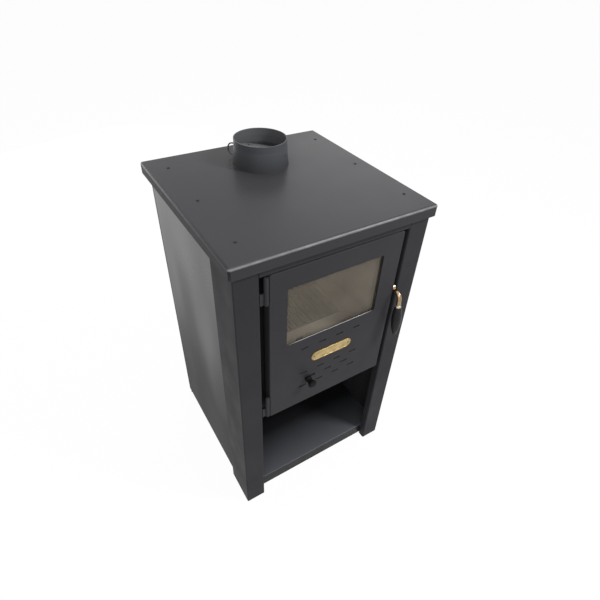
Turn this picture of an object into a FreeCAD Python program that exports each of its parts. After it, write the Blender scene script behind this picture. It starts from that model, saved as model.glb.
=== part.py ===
import FreeCAD, Part
import math
import os
import re

import Sketcher

# Driving dimensions in millimetres and degrees: name, value, what it measures.
DIMENSIONS = [
    ("front_y", -197.07, "plane of the post fronts and of the door face"),
    ("hob_overhang", 7.5, "hob side edge past a post"),
    ("hob_tail", 30, "hob back edge past the back panel"),
    ("casing_sheet", 2, "sheet of posts, panels, header, shelf and rails"),
    ("casing_bend", 3, "outer bend radius of the posts"),
    ("post_face", 48, "front width of a post"),
    ("post_side", 87, "side flange of a post"),
    ("post_return", 18, "return flange of a post beside the door"),
    ("panel_gap", 25, "floor to the lower edge of the side and back panels"),
    ("hob_width", 435, "width of the hob plate"),
    ("hob_depth", 438, "depth of the hob plate"),
    ("hob_height", 745, "floor to the top of the hob plate"),
    ("hob_sheet", 3, "sheet of the hob plate"),
    ("hob_lip", 24, "height of the folded lips"),
    ("hob_reach", 8, "how far the hob stands out in front of the posts"),
    ("hob_bend", 5, "outer bend radius of the lips"),
    ("hob_corner", 5, "plan radius of the hob corners"),
    ("hob_relief", 3.5, "bend relief notch at each lip corner"),
    ("screw_inset", 25, "side panel to the screw line"),
    ("screw_shift", 5.5, "both screw lines off the middle, to the right"),
    ("screw_first", 64, "hob front edge to the first screw"),
    ("screw_last", 58, "hob back edge to the last screw"),
    ("screw_shank", 2, "shank radius of a hob screw"),
    ("screw_head", 3.2, "head radius of a hob screw"),
    ("screw_head_high", 1.2, "head height of a hob screw"),
    ("screw_tail", 12, "length of a hob screw under its head"),
    ("screw_play", 0.3, "radial play of a screw in the hob"),
    ("rail_drop", 20, "vertical flange of a side rail"),
    ("header_flange", 14, "top flange of the header"),
    ("shelf_height", 41, "floor to the top of the wood shelf"),
    ("shelf_lip", 34, "height of the shelf's folded lips"),
    ("foot_flange", 38, "flange width of a rear foot"),
    ("foot_inset", 8, "side panel to a rear foot"),
    ("firebox_side", 42, "post side to the firebox side plate"),
    ("firebox_lift", 1, "door's lower edge to the underside of the firebox floor"),
    ("firebox_sheet", 4, "sheet of the firebox plates"),
    ("firebox_air", 15, "air gap behind the firebox"),
    ("frame_gap", 8, "door's rear edge to the front frame"),
    ("frame_rim", 20, "front frame rim inside the door's outline"),
    ("grate_lift", 112, "firebox floor's underside to the underside of the grate shelf"),
    ("grate_side_gap", 44, "side firebricks to the grate"),
    ("grate_back_gap", 20, "back firebricks to the grate"),
    ("grate_thick", 12, "thickness of the grate"),
    ("grate_setback", 52, "front frame to the grate"),
    ("grate_ledge", 10, "grate overlap on the shelf"),
    ("grate_bar_share", 0.57, "width of a grate bar in slot spacings"),
    ("grate_slot_count", 9, "slots across the grate"),
    ("grate_rim", 16, "plain rim around the grate slots"),
    ("brick_thick", 25, "thickness of the firebricks"),
    ("brick_height", 205, "height of the wall firebricks"),
    ("brick_joint", 1, "joint between firebricks"),
    ("brick_front_gap", 6, "front frame to the side firebricks"),
    ("baffle_thick", 6, "thickness of the baffle"),
    ("baffle_depth", 215, "depth of the baffle from the back plate"),
    ("baffle_play", 2, "side play of the baffle"),
    ("pan_side_gap", 21, "edge of the firebox mouth to the ash pan"),
    ("pan_back_gap", 13, "firebox back plate to the ash pan"),
    ("pan_height", 62, "height of the ash pan"),
    ("pan_sheet", 1.5, "sheet of the ash pan"),
    ("pan_setback", 34, "front frame to the ash pan"),
    ("pan_pull_reach", 22, "how far the ash pan's pull stands out"),
    ("pan_pull_width", 80, "width of the ash pan's pull"),
    ("runner_height", 17, "height of the ash pan runners"),
    ("runner_width", 12, "width of the ash pan runners"),
    ("flue_x", 7, "middle of the hob to the flue centre, sideways"),
    ("flue_inset", 118, "hob back edge to the flue centre"),
    ("flue_base", 59.5, "outer radius of the flue collar at the hob"),
    ("flue_rim", 56, "outer radius of the collar's straight spigot"),
    ("flue_height", 54, "height of the flue collar"),
    ("flue_straight", 14, "length of the straight spigot"),
    ("flue_sheet", 2, "sheet of the flue collar"),
    ("flue_hole", 57, "radius of the flue hole in the hob"),
    ("damper_radius", 50, "radius of the damper disc"),
    ("damper_sheet", 2, "sheet of the damper disc"),
    ("damper_tilt", 16, "resting tilt of the damper disc"),
    ("damper_turn", 128, "plan direction of the damper shaft"),
    ("damper_level", 28, "hob to the damper shaft"),
    ("shaft_radius", 3, "radius of the damper shaft"),
    ("shaft_play", 0.06, "radial play of the damper shaft"),
    ("shaft_past", 2, "shaft past the collar on its plain side"),
    ("loop_start", 60, "flue axis to the inner leg of the loop"),
    ("loop_reach", 15, "depth of the loop"),
    ("loop_rise", 3, "top of the loop over the damper shaft"),
    ("loop_drop", 22, "foot of the loop under the damper shaft"),
    ("loop_bend", 2, "bend radius of the loop at its inner leg"),
    ("loop_bow", 11, "bend radius of the loop at its outer side"),
    ("loop_wire", 1.5, "wire radius of the loop"),
    ("damper_screw_offset", 25, "flue axis to a damper screw"),
    ("damper_screw_head", 4, "head radius of a damper screw"),
    ("damper_screw_high", 2, "head height of a damper screw"),
    ("hinge_gap", 18, "left post to the door"),
    ("latch_gap", 10, "door to the right post"),
    ("door_height", 383, "height of the door"),
    ("door_drop", 43, "hob top to the upper edge of the door"),
    ("door_sheet", 3, "sheet of the door"),
    ("door_depth", 20, "depth of the door pan"),
    ("door_corner", 5, "corner radius of the door"),
    ("door_bend", 2, "outer bend radius of the door's edges"),
    ("door_top_gap", 3, "door to the header"),
    ("window_side", 36.5, "door's left edge to the window"),
    ("window_drop", 42, "door's upper edge to the window"),
    ("window_lift", 201, "door's lower edge to the window"),
    ("window_corner", 3, "corner radius of the window"),
    ("glass_lap", 10, "glass behind the edge of the window"),
    ("glass_thick", 4, "thickness of the glass"),
    ("gasket_thick", 2, "thickness of the glass gasket"),
    ("gasket_lap", 2, "gasket set back from the window edge"),
    ("clip_sheet", 1.5, "sheet of a glass clip"),
    ("clip_width", 16, "width of a glass clip"),
    ("clip_lap", 8, "clip over the glass"),
    ("clip_foot", 9, "foot of a glass clip"),
    ("clip_gap", 0.5, "glass edge to a clip"),
    ("clip_share", 3, "window width to a clip's distance from its middle"),
    ("clip_stud", 2, "radius of a clip stud"),
    ("clip_nut", 3.5, "radius of a clip nut"),
    ("clip_nut_high", 3, "height of a clip nut"),
    ("slot_share", 0.409, "slot length in slot spacings"),
    ("slot_height", 4, "height of an air slot"),
    ("slots_across", 4, "slots in a full row"),
    ("slots_short", 2, "slots in the row beside the knob"),
    ("slot_spacings", 6.916, "slot spacings in the door's width"),
    ("slot_step", 21.3, "spacing of the lower rows"),
    ("slot_rows_lift", 78, "door's lower edge to the middle row of lower slots"),
    ("slot_upper_lift", 173, "door's lower edge to the upper row of slots"),
    ("slider_sheet", 1.5, "sheet of the air slider"),
    ("slider_play", 0.3, "play around the air slider"),
    ("slider_share", 0.4, "slider travel in slot spacings"),
    ("slider_rim", 13, "slider past its slots"),
    ("guide_lap", 6, "guide over the slider"),
    ("guide_foot", 10, "foot of a slider guide"),
    ("guide_past", 6, "guide past the slider's travel"),
    ("knob_share", 1.25, "middle of the slots to the air knob, shut, in slot spacings"),
    ("knob_stem", 2.5, "radius of the knob stem"),
    ("knob_play", 0.6, "play of the stem in its slot"),
    ("knob_gap", 3, "door to the air knob"),
    ("knob_length", 22, "length of the air knob"),
    ("knob_root", 7.5, "radius of the knob's root"),
    ("knob_waist", 6.2, "radius of the knob's waist"),
    ("knob_end", 9.5, "radius of the knob's flared end"),
    ("knob_collar", 4.5, "length of the knob's root"),
    ("knob_neck", 7.5, "knob's foot to its waist"),
    ("knob_flare", 17.5, "knob's foot to its flared rim"),
    ("knob_rim", 2.5, "width of the flared rim"),
    ("plate_x", 4, "place of the brass plate"),
    ("plate_lift", 136, "door's lower edge to the middle of the brass plate"),
    ("plate_length", 101, "length of the brass plate"),
    ("plate_height", 24, "height of the brass plate's face"),
    ("plate_thick", 1, "thickness of the brass plate"),
    ("rivet_inset", 7, "plate end to a rivet"),
    ("rivet_shank", 1.3, "shank radius of a rivet"),
    ("rivet_head", 2.4, "head radius of a rivet"),
    ("rivet_high", 1.1, "head height of a rivet"),
    ("hinge_offset", 6, "door edge to the hinge axis"),
    ("hinge_radius", 4.3, "radius of a hinge barrel"),
    ("hinge_half", 29, "length of a hinge half"),
    ("hinge_dome", 2, "domed end of a hinge half"),
    ("hinge_leaf", 3, "leaf of a hinge half"),
    ("hinge_drop", 31, "door's upper edge to the middle of the upper hinge"),
    ("hinge_lift", 38, "door's lower edge to the middle of the lower hinge"),
    ("pin_radius", 2.2, "radius of a hinge pin"),
    ("pin_play", 0.05, "radial play of a hinge pin"),
    ("pin_reach", 20, "pin in each hinge half"),
    ("washer_thick", 1, "thickness of a hinge washer"),
    ("washer_play", 0.1, "play over a hinge washer"),
    ("rope_radius", 6, "radius of the rope seal"),
    ("rope_play", 0.3, "rope to the front frame and its channel"),
    ("rope_bend", 18, "corner radius of the rope seal"),
    ("channel_sheet", 1.5, "sheet of the seal channel"),
    ("channel_depth", 6, "depth of the seal channel"),
    ("pivot_inset", 5.5, "door face to the handle pivot"),
    ("pivot_drop", 142, "door's upper edge to the handle pivot"),
    ("pivot_radius", 3, "radius of the handle pivot"),
    ("pivot_play", 0.05, "radial play of the handle pivot"),
    ("pivot_tail", 2.5, "radius of the pivot's welded tail"),
    ("pivot_head", 5, "radius of the pivot's head"),
    ("pivot_head_high", 1.6, "height of the pivot's head"),
    ("pivot_washer", 1, "washer between door and lever"),
    ("pivot_side_play", 0.1, "side play of the lever"),
    ("lever_sheet", 5, "thickness of the handle lever"),
    ("lever_boss", 6.5, "boss radius of the lever"),
    ("lever_low", 8.5, "pivot to the lever's lower edge"),
    ("lever_hook", 12.9, "pivot to the hook's inner face"),
    ("lever_lip", 3.5, "thickness of the hook"),
    ("lever_lip_high", 8, "pivot to the hook's tip"),
    ("keeper_radius", 2.2, "radius of the latch keeper"),
    ("keeper_back", 9.8, "pivot to the keeper, towards the back"),
    ("keeper_up", 4, "pivot to the keeper, upwards"),
    ("keeper_gap", 1.5, "keeper to the door"),
    ("neck_start", 6, "door face to the handle neck"),
    ("neck_drop", 4, "pivot to the neck's centre line, downwards"),
    ("neck_radius", 4.8, "radius of the neck"),
    ("neck_bend", 14, "bend radius of the neck"),
    ("neck_tail", 14, "straight end of the neck"),
    ("grip_tilt", 5, "lean of the grip from upright"),
    ("ferrule_length", 5, "length of the ferrule"),
    ("ferrule_radius", 6.2, "radius of the ferrule"),
    ("grip_length", 75, "length of the grip"),
    ("grip_top", 7, "radius of the grip at the ferrule"),
    ("grip_belly", 123, "radius of the grip's swelling side"),
    ("grip_tip", 4.2, "radius of the grip's tip"),
    ("grip_tip_length", 3, "length of the grip's rounded tip"),
]

# Places that follow from the driving dimensions.
DERIVED = [
    ("casing_width", "hob_width - 2 * hob_overhang"),
    ("casing_depth", "hob_depth - hob_reach - hob_tail"),
    ("firebox_width", "casing_width - 2 * firebox_side"),
    ("door_high", "hob_height - door_drop"),
    ("door_low", "door_high - door_height"),
    ("firebox_low", "door_low + firebox_lift"),
    ("side_x", "casing_width / 2"),
    ("post_in", "side_x - post_face"),
    ("panel_out", "side_x - casing_sheet"),
    ("panel_in", "panel_out - casing_sheet"),
    ("under_hob", "hob_height - hob_sheet"),
    ("hob_front", "front_y - hob_reach"),
    ("hob_back", "hob_front + hob_depth"),
    ("screw_x", "panel_in - screw_inset"),
    ("screw_y", "hob_front + screw_first"),
    ("screw_pitch", "(hob_depth - screw_first - screw_last) / 2"),
    ("casing_back", "front_y + casing_depth"),
    ("back_in", "casing_back - casing_sheet"),
    ("panel_front", "front_y + 2 * casing_bend"),
    ("shelf_front", "front_y + post_return"),
    ("shelf_under", "shelf_height - casing_sheet"),
    ("shelf_low", "shelf_height - shelf_lip"),
    ("door_left", "hinge_gap - post_in"),
    ("door_right", "post_in - latch_gap"),
    ("door_inner", "front_y + door_sheet"),
    ("door_back", "front_y + door_depth"),
    ("header_low", "door_high + door_top_gap"),
    ("frame_y", "door_back + frame_gap"),
    ("frame_back", "frame_y + firebox_sheet"),
    ("fire_out", "firebox_width / 2"),
    ("fire_in", "fire_out - firebox_sheet"),
    ("fire_floor", "firebox_low + firebox_sheet"),
    ("fire_rear", "back_in - firebox_air"),
    ("fire_back", "fire_rear - firebox_sheet"),
    ("mouth_left", "door_left + frame_rim"),
    ("mouth_right", "door_right - frame_rim"),
    ("mouth_low", "door_low + frame_rim"),
    ("mouth_high", "door_high - frame_rim"),
    ("grate_level", "firebox_low + grate_lift"),
    ("hearth", "grate_level + firebox_sheet"),
    ("grate_y", "frame_back + grate_setback"),
    ("brick_in", "fire_in - brick_thick"),
    ("brick_rear", "fire_back - brick_thick"),
    ("brick_front", "frame_back + brick_front_gap"),
    ("grate_end", "brick_rear - grate_back_gap"),
    ("grate_depth", "grate_end - grate_y"),
    ("grate_width", "2 * (brick_in - grate_side_gap)"),
    ("grate_slot_pitch", "(grate_width - 2 * grate_rim) / (grate_slot_count - grate_bar_share)"),
    ("grate_slot", "grate_slot_pitch * (1 - grate_bar_share)"),
    ("brick_mid", "(brick_front + brick_rear) / 2"),
    ("brick_top", "hearth + brick_height"),
    ("pan_low", "fire_floor + runner_height"),
    ("pan_y", "frame_back + pan_setback"),
    ("pan_width", "-2 * (mouth_left + pan_side_gap)"),
    ("pan_depth", "fire_back - pan_back_gap - pan_y"),
    ("flue_y", "hob_back - flue_inset"),
    ("window_width", "-2 * (door_left + window_side)"),
    ("window_low", "door_low + window_lift"),
    ("window_high", "door_high - window_drop"),
    ("clip_x", "window_width / clip_share"),
    ("slot_pitch", "(door_right - door_left) / slot_spacings"),
    ("slot_length", "slot_pitch * slot_share"),
    ("slot_rows_z", "door_low + slot_rows_lift"),
    ("slot_upper_z", "door_low + slot_upper_lift"),
    ("slider_travel", "slot_pitch * slider_share"),
    ("knob_x", "-slot_pitch * knob_share"),
    ("plate_z", "door_low + plate_lift"),
    ("hinge_upper_z", "door_high - hinge_drop"),
    ("hinge_lower_z", "door_low + hinge_lift"),
    ("pivot_z", "door_high - pivot_drop"),
    ("glass_half", "window_width / 2 + glass_lap"),
    ("glass_low", "window_low - glass_lap"),
    ("glass_high", "window_high + glass_lap"),
    ("glass_y", "door_inner + gasket_thick"),
    ("glass_back", "glass_y + glass_thick"),
    ("slots_half", "slot_pitch * (slots_across - 1) / 2 + slot_length / 2"),
    ("slider_y", "door_inner + slider_play"),
    ("slider_back", "slider_y + slider_sheet"),
    ("slider_left", "-slots_half - slider_rim - slider_travel"),
    ("slider_right", "slots_half + slider_rim"),
    ("slider_low", "slot_rows_z - slot_step - slot_height / 2 - slider_rim"),
    ("slider_high", "slot_rows_z + slot_step + slot_height / 2 + slider_rim"),
    ("guide_y", "slider_back + slider_play"),
    ("guide_left", "slider_left - guide_past"),
    ("guide_right", "slider_right + slider_travel + guide_past"),
    ("hinge_x", "door_left - hinge_offset"),
    ("rope_y", "frame_y - rope_play - rope_radius"),
    ("rope_inset", "door_sheet + channel_sheet + rope_play + rope_radius"),
    ("channel_wide", "2 * (channel_sheet + rope_play + rope_radius)"),
    ("channel_y", "rope_y - rope_radius - rope_play - channel_sheet"),
    ("pivot_y", "front_y + pivot_inset"),
    ("lever_x", "door_right + pivot_washer + pivot_side_play"),
    ("lever_end", "lever_x + lever_sheet"),
    ("neck_x", "lever_x + lever_sheet / 2"),
    ("neck_y", "front_y - neck_start"),
    ("neck_z", "pivot_z - neck_drop"),
    ("neck_arc_y", "neck_y - neck_bend * cos(grip_tilt)"),
    ("neck_arc_z", "neck_z - neck_bend + neck_bend * sin(grip_tilt)"),
    ("neck_end_y", "neck_arc_y - neck_tail * sin(grip_tilt)"),
    ("neck_end_z", "neck_arc_z - neck_tail * cos(grip_tilt)"),
    ("grip_y", "neck_end_y - ferrule_length * sin(grip_tilt)"),
    ("grip_z", "neck_end_z - ferrule_length * cos(grip_tilt)"),
]

ALIASES = {row[0] for row in DIMENSIONS + DERIVED}
FACING = {"XY": 1, "XZ": -1, "YZ": 1}

doc = FreeCAD.newDocument("WoodStove")
sizes = doc.addObject("Spreadsheet::Sheet", "Sizes")
for row, (alias, size, meaning) in enumerate(DIMENSIONS, 1):
    sizes.set(f"A{row}", meaning)
    sizes.set(f"B{row}", str(size))
    sizes.setAlias(f"B{row}", alias)
for row, (alias, formula) in enumerate(DERIVED, len(DIMENSIONS) + 1):
    sizes.set(f"B{row}", "=" + formula)
    sizes.setAlias(f"B{row}", alias)
doc.recompute()
pieces = {}


def cell(text):
    """An expression in sheet names, as other objects of the document read it."""
    return re.sub(r"[a-z][a-z_]+", lambda m: "Sizes." + m[0] if m[0] in ALIASES else m[0], text)


def number(text):
    """The present value of an expression in sheet names."""
    return float(sizes.evalExpression(text))


def keep(label, piece):
    """Names a finished piece, which then gets a file of its own."""
    piece.Label = label
    pieces[label] = piece
    return piece


def place(piece, x="0", y="0", z="0"):
    """Binds a piece's position to the sheet."""
    for axis, text in zip("xyz", (x, y, z)):
        piece.setExpression(f"Placement.Base.{axis}", cell(text))
    return piece


def block(name, x, y, z):
    """A rectangular block between low and high limits on each axis."""
    piece = doc.addObject("Part::Box", name)
    for side, (low, high) in zip(("Length", "Width", "Height"), (x, y, z)):
        piece.setExpression(side, cell(f"({high}) - ({low})"))
    return place(piece, x[0], y[0], z[0])


def rod(name, radius, length, x, y, z, along=(0, 0, 1)):
    """A round rod from a point, along a direction."""
    piece = doc.addObject("Part::Cylinder", name)
    piece.setExpression("Radius", cell(radius))
    piece.setExpression("Height", cell(length))
    piece.Placement.Rotation = FreeCAD.Rotation(FreeCAD.Vector(0, 0, 1), FreeCAD.Vector(*along))
    return place(piece, x, y, z)


def together(label, members):
    """Several like pieces kept as one node of separate solids."""
    group = doc.addObject("Part::Compound", label)
    group.Links = members
    return keep(label, group)


def new_body(name):
    return doc.addObject("PartDesign::Body", name)


def sketch_on(body, plane, at="0"):
    """A sketch on one of the body's origin planes, moved along that plane's axis."""
    role = plane + "_Plane"
    base = next(f for f in body.Origin.OriginFeatures if f.Role == role)
    sketch = body.newObject("Sketcher::SketchObject", "Sketch")
    sketch.AttachmentSupport = [(base, "")]
    sketch.MapMode = "FlatFace"
    sketch.setExpression("AttachmentOffset.Base.z", cell(f"{FACING[plane]} * ({at})"))
    return sketch


def pin_point(sketch, edge, end, x, y):
    """Ties a point of a sketch to two expressions."""
    for kind, axis, text in (("DistanceX", -2, x), ("DistanceY", -1, y)):
        if text == "0":
            sketch.addConstraint(Sketcher.Constraint("PointOnObject", edge, end, axis))
        else:
            tie = Sketcher.Constraint(kind, -1, 1, edge, end, number(text))
            sketch.setExpression(f"Constraints[{sketch.addConstraint(tie)}]", cell(text))


def arc_between(start, end, radius, turn):
    """The shorter arc from start to end: turn is 1 counter-clockwise, -1 clockwise."""
    chord = end - start
    rise = math.sqrt(max(radius ** 2 - chord.Length ** 2 / 4, 0))
    across = FreeCAD.Vector(-chord.y, chord.x, 0).normalize()
    centre = (start + end) * 0.5 + across * rise * turn
    first, last = (start, end) if turn > 0 else (end, start)
    low = math.atan2(first.y - centre.y, first.x - centre.x)
    high = math.atan2(last.y - centre.y, last.x - centre.x)
    if high <= low:
        high += 2 * math.pi
    circle = Part.Circle(centre, FreeCAD.Vector(0, 0, 1), radius)
    return Part.ArcOfCircle(circle, low, high)


def outline(sketch, corners, closed=True):
    """Straight runs through corners (x, y); a corner (x, y, radius, turn) is reached by an arc."""
    points = [FreeCAD.Vector(number(c[0]), number(c[1]), 0) for c in corners]
    edges = []
    for i in range(0 if closed else 1, len(corners)):
        bend = corners[i][2:]
        if bend:
            shape = arc_between(points[i - 1], points[i], number(bend[0]), bend[1])
        else:
            shape = Part.LineSegment(points[i - 1], points[i])
        edge = sketch.addGeometry(shape, False)
        ends = (2, 1) if bend and bend[1] < 0 else (1, 2)
        edges.append((edge, ends[0], ends[1]))
        pin_point(sketch, edge, ends[1], corners[i][0], corners[i][1])
        if bend:
            tie = sketch.addConstraint(Sketcher.Constraint("Radius", edge, number(bend[0])))
            sketch.setExpression(f"Constraints[{tie}]", cell(bend[0]))
    if not closed:
        pin_point(sketch, edges[0][0], edges[0][1], corners[0][0], corners[0][1])
    for i in range(0 if closed else 1, len(edges)):
        before, after = edges[i - 1], edges[i]
        sketch.addConstraint(Sketcher.Constraint("Coincident", before[0], before[2], after[0], after[1]))
    return sketch


def rectangle(sketch, x, y):
    return outline(sketch, [(x[0], y[0]), (x[1], y[0]), (x[1], y[1]), (x[0], y[1])])


def rounded_corners(x, y, radius):
    """Corners of a rectangle with rounded corners, from the middle of its lower side round."""
    left, right, low, high = x[0], x[1], y[0], y[1]
    return [
        (f"(({left}) + ({right})) / 2", low),
        (f"{right} - {radius}", low),
        (right, f"{low} + {radius}", radius, 1),
        (right, f"{high} - {radius}"),
        (f"{right} - {radius}", high, radius, 1),
        (f"{left} + {radius}", high),
        (left, f"{high} - {radius}", radius, 1),
        (left, f"{low} + {radius}"),
        (f"{left} + {radius}", low, radius, 1),
    ]


def circle(sketch, x, y, radius):
    """A circle tied to its centre and radius."""
    centre = FreeCAD.Vector(number(x), number(y), 0)
    edge = sketch.addGeometry(Part.Circle(centre, FreeCAD.Vector(0, 0, 1), number(radius)), False)
    pin_point(sketch, edge, 3, x, y)
    tie = sketch.addConstraint(Sketcher.Constraint("Radius", edge, number(radius)))
    sketch.setExpression(f"Constraints[{tie}]", cell(radius))
    return sketch


def pad(body, plane, sketch, length):
    """Material from the sketch towards the plane's positive axis."""
    feature = body.newObject("PartDesign::Pad", "Pad")
    feature.Profile = sketch
    feature.setExpression("Length", cell(length))
    feature.Reversed = plane == "XZ"
    return feature


def pocket(body, plane, sketch, depth):
    """A cut from the sketch towards the plane's positive axis."""
    feature = body.newObject("PartDesign::Pocket", "Pocket")
    feature.Profile = sketch
    feature.setExpression("Length", cell(depth))
    feature.Reversed = plane != "XZ"
    return feature


def revolve(body, corners):
    """A turned piece from corners (radius, height) about the body's own upright axis."""
    sketch = outline(sketch_on(body, "XZ"), corners)
    feature = body.newObject("PartDesign::Revolution", "Revolution")
    feature.Profile = sketch
    feature.ReferenceAxis = (sketch, ["V_Axis"])
    feature.Angle = 360
    return feature


def in_row(body, feature, sketch, axis, span, count):
    """Copies of a feature along a sketch axis, over a span."""
    pattern = body.newObject("PartDesign::LinearPattern", "Pattern")
    pattern.Originals = [feature]
    pattern.Direction = (sketch, [axis])
    pattern.setExpression("Length", cell(span))
    pattern.setExpression("Occurrences", cell(count))
    body.Tip = pattern
    return pattern


def round_edges(body, feature, chosen, radius):
    """Rounds the edges of a feature that a test picks."""
    doc.recompute()
    names = [f"Edge{i}" for i, e in enumerate(feature.Shape.Edges, 1) if chosen(e.BoundBox)]
    fillet = body.newObject("PartDesign::Fillet", "Fillet")
    fillet.Base = (feature, names)
    fillet.setExpression("Radius", cell(radius))
    return fillet


def pipe(body, path, profile):
    """A round section carried along a path sketch."""
    feature = body.newObject("PartDesign::AdditivePipe", "Pipe")
    feature.Profile = profile
    feature.Spine = path
    return feature


def extruded(label, plane, at, corners, length):
    """A piece of one constant section."""
    body = new_body(label)
    pad(body, plane, outline(sketch_on(body, plane, at), corners), length)
    return keep(label, body)


# Hob plate: one folded sheet with lips, bend reliefs, flue hole and screw holes.
hob = new_body("hob")
hob_x = ("-hob_width / 2", "hob_width / 2")
hob_low = "hob_height - hob_lip"
hob_plan = rounded_corners(hob_x, ("hob_front", "hob_back"), "hob_corner")
hob_pad = pad(hob, "XY", outline(sketch_on(hob, "XY", hob_low), hob_plan), "hob_lip")
round_edges(hob, hob_pad, lambda box: box.ZMin > number("hob_height") - 0.01, "hob_bend")
hob_inside = rectangle(
    sketch_on(hob, "XY", hob_low),
    ("hob_sheet - hob_width / 2", "hob_width / 2 - hob_sheet"),
    ("hob_front + hob_sheet", "hob_back - hob_sheet"),
)
pocket(hob, "XY", hob_inside, "hob_lip - hob_sheet")
for notch_x in (
    ("-hob_width / 2", "hob_relief - hob_width / 2"), ("hob_width / 2 - hob_relief", "hob_width / 2"),
):
    for notch_y in (("hob_front", "hob_front + hob_relief"), ("hob_back - hob_relief", "hob_back")):
        pocket(hob, "XY", rectangle(sketch_on(hob, "XY", hob_low), notch_x, notch_y), "hob_lip - hob_bend")
pocket(hob, "XY", circle(sketch_on(hob, "XY", "under_hob"), "flue_x", "flue_y", "flue_hole"), "hob_sheet")
screw_holes = sketch_on(hob, "XY", "under_hob")
for side in ("-", ""):
    circle(screw_holes, side + "screw_x + screw_shift", "screw_y", "screw_shank + screw_play")
screw_cut = pocket(hob, "XY", screw_holes, "hob_sheet")
in_row(hob, screw_cut, screw_holes, "V_Axis", "2 * screw_pitch", "3")
keep("hob_plate", hob)

screws = []
for side in ("-", ""):
    for step in range(3):
        screw = new_body("screw")
        revolve(screw, [
            ("0", "-screw_tail"), ("screw_shank", "-screw_tail"), ("screw_shank", "0"), ("screw_head", "0"),
            ("screw_head", "screw_head_high / 2"), ("screw_head / 2", "screw_head_high"),
            ("0", "screw_head_high"),
        ])
        screw_at = (side + "screw_x + screw_shift", f"screw_y + {step} * screw_pitch")
        screws.append(place(screw, *screw_at, "hob_height"))
together("hob_screws", screws)

# Posts, panels, rails, header, shelf and feet, each side from the same lines.
for name, side, turn in (("left", "-", -1), ("right", "", 1)):
    def mirrored(text, side=side):
        return f"{side}({text})"

    extruded(f"front_post_{name}", "XY", "0", [
        (mirrored("side_x"), "front_y + post_side"),
        (mirrored("side_x"), "front_y + casing_bend"),
        (mirrored("side_x - casing_bend"), "front_y", "casing_bend", -turn),
        (mirrored("post_in + casing_bend"), "front_y"),
        (mirrored("post_in"), "front_y + casing_bend", "casing_bend", -turn),
        (mirrored("post_in"), "front_y + post_return"),
        (mirrored("post_in + casing_sheet"), "front_y + post_return"),
        (mirrored("post_in + casing_sheet"), "front_y + casing_bend"),
        (mirrored("post_in + casing_bend"), "front_y + casing_sheet", "casing_bend - casing_sheet", turn),
        (mirrored("side_x - casing_bend"), "front_y + casing_sheet"),
        (mirrored("panel_out"), "front_y + casing_bend", "casing_bend - casing_sheet", turn),
        (mirrored("panel_out"), "front_y + post_side"),
    ], "under_hob")
    wall = ("-panel_out", "-panel_in") if side else ("panel_in", "panel_out")
    keep(f"side_panel_{name}", block("panel", wall, ("panel_front", "back_in"), ("panel_gap", "under_hob")))
    rail = new_body("rail")
    pad(rail, "XZ", outline(sketch_on(rail, "XZ", "panel_front"), [
        (mirrored("panel_in"), "under_hob"),
        (mirrored("fire_out"), "under_hob"),
        (mirrored("fire_out"), "under_hob - casing_sheet"),
        (mirrored("panel_in - casing_sheet"), "under_hob - casing_sheet"),
        (mirrored("panel_in - casing_sheet"), "under_hob - rail_drop"),
        (mirrored("panel_in"), "under_hob - rail_drop"),
    ]), "back_in - panel_front")
    rail_holes = circle(
        sketch_on(rail, "XY", "under_hob - casing_sheet"), side + "screw_x + screw_shift", "screw_y",
        "screw_shank",
    )
    rail_cut = pocket(rail, "XY", rail_holes, "casing_sheet")
    in_row(rail, rail_cut, rail_holes, "V_Axis", "2 * screw_pitch", "3")
    keep(f"side_rail_{name}", rail)
    foot_x = "panel_in - foot_inset"
    extruded(f"rear_foot_{name}", "XY", "0", [
        (mirrored(foot_x), "back_in - casing_sheet"),
        (mirrored(foot_x), "back_in - casing_sheet - foot_flange"),
        (mirrored(foot_x + " - casing_sheet"), "back_in - casing_sheet - foot_flange"),
        (mirrored(foot_x + " - casing_sheet"), "back_in - 2 * casing_sheet"),
        (mirrored(foot_x + " - foot_flange"), "back_in - 2 * casing_sheet"),
        (mirrored(foot_x + " - foot_flange"), "back_in - casing_sheet"),
    ], "shelf_under")

keep(
    "back_panel",
    block("back", ("-panel_out", "panel_out"), ("back_in", "casing_back"), ("panel_gap", "under_hob")),
)
extruded("front_header", "YZ", "-post_in", [
    ("front_y", "header_low"), ("front_y + casing_sheet", "header_low"),
    ("front_y + casing_sheet", "under_hob - casing_sheet"),
    ("front_y + header_flange", "under_hob - casing_sheet"),
    ("front_y + header_flange", "under_hob"), ("front_y", "under_hob"),
], "2 * post_in")
extruded("wood_shelf", "YZ", "-panel_in", [
    ("shelf_front", "shelf_low"), ("shelf_front + casing_sheet", "shelf_low"),
    ("shelf_front + casing_sheet", "shelf_under"), ("back_in - casing_sheet", "shelf_under"),
    ("back_in - casing_sheet", "shelf_low"), ("back_in", "shelf_low"),
    ("back_in", "shelf_height"), ("shelf_front + casing_bend", "shelf_height"),
    ("shelf_front", "shelf_height - casing_bend", "casing_bend", 1),
], "2 * panel_in")

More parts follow.
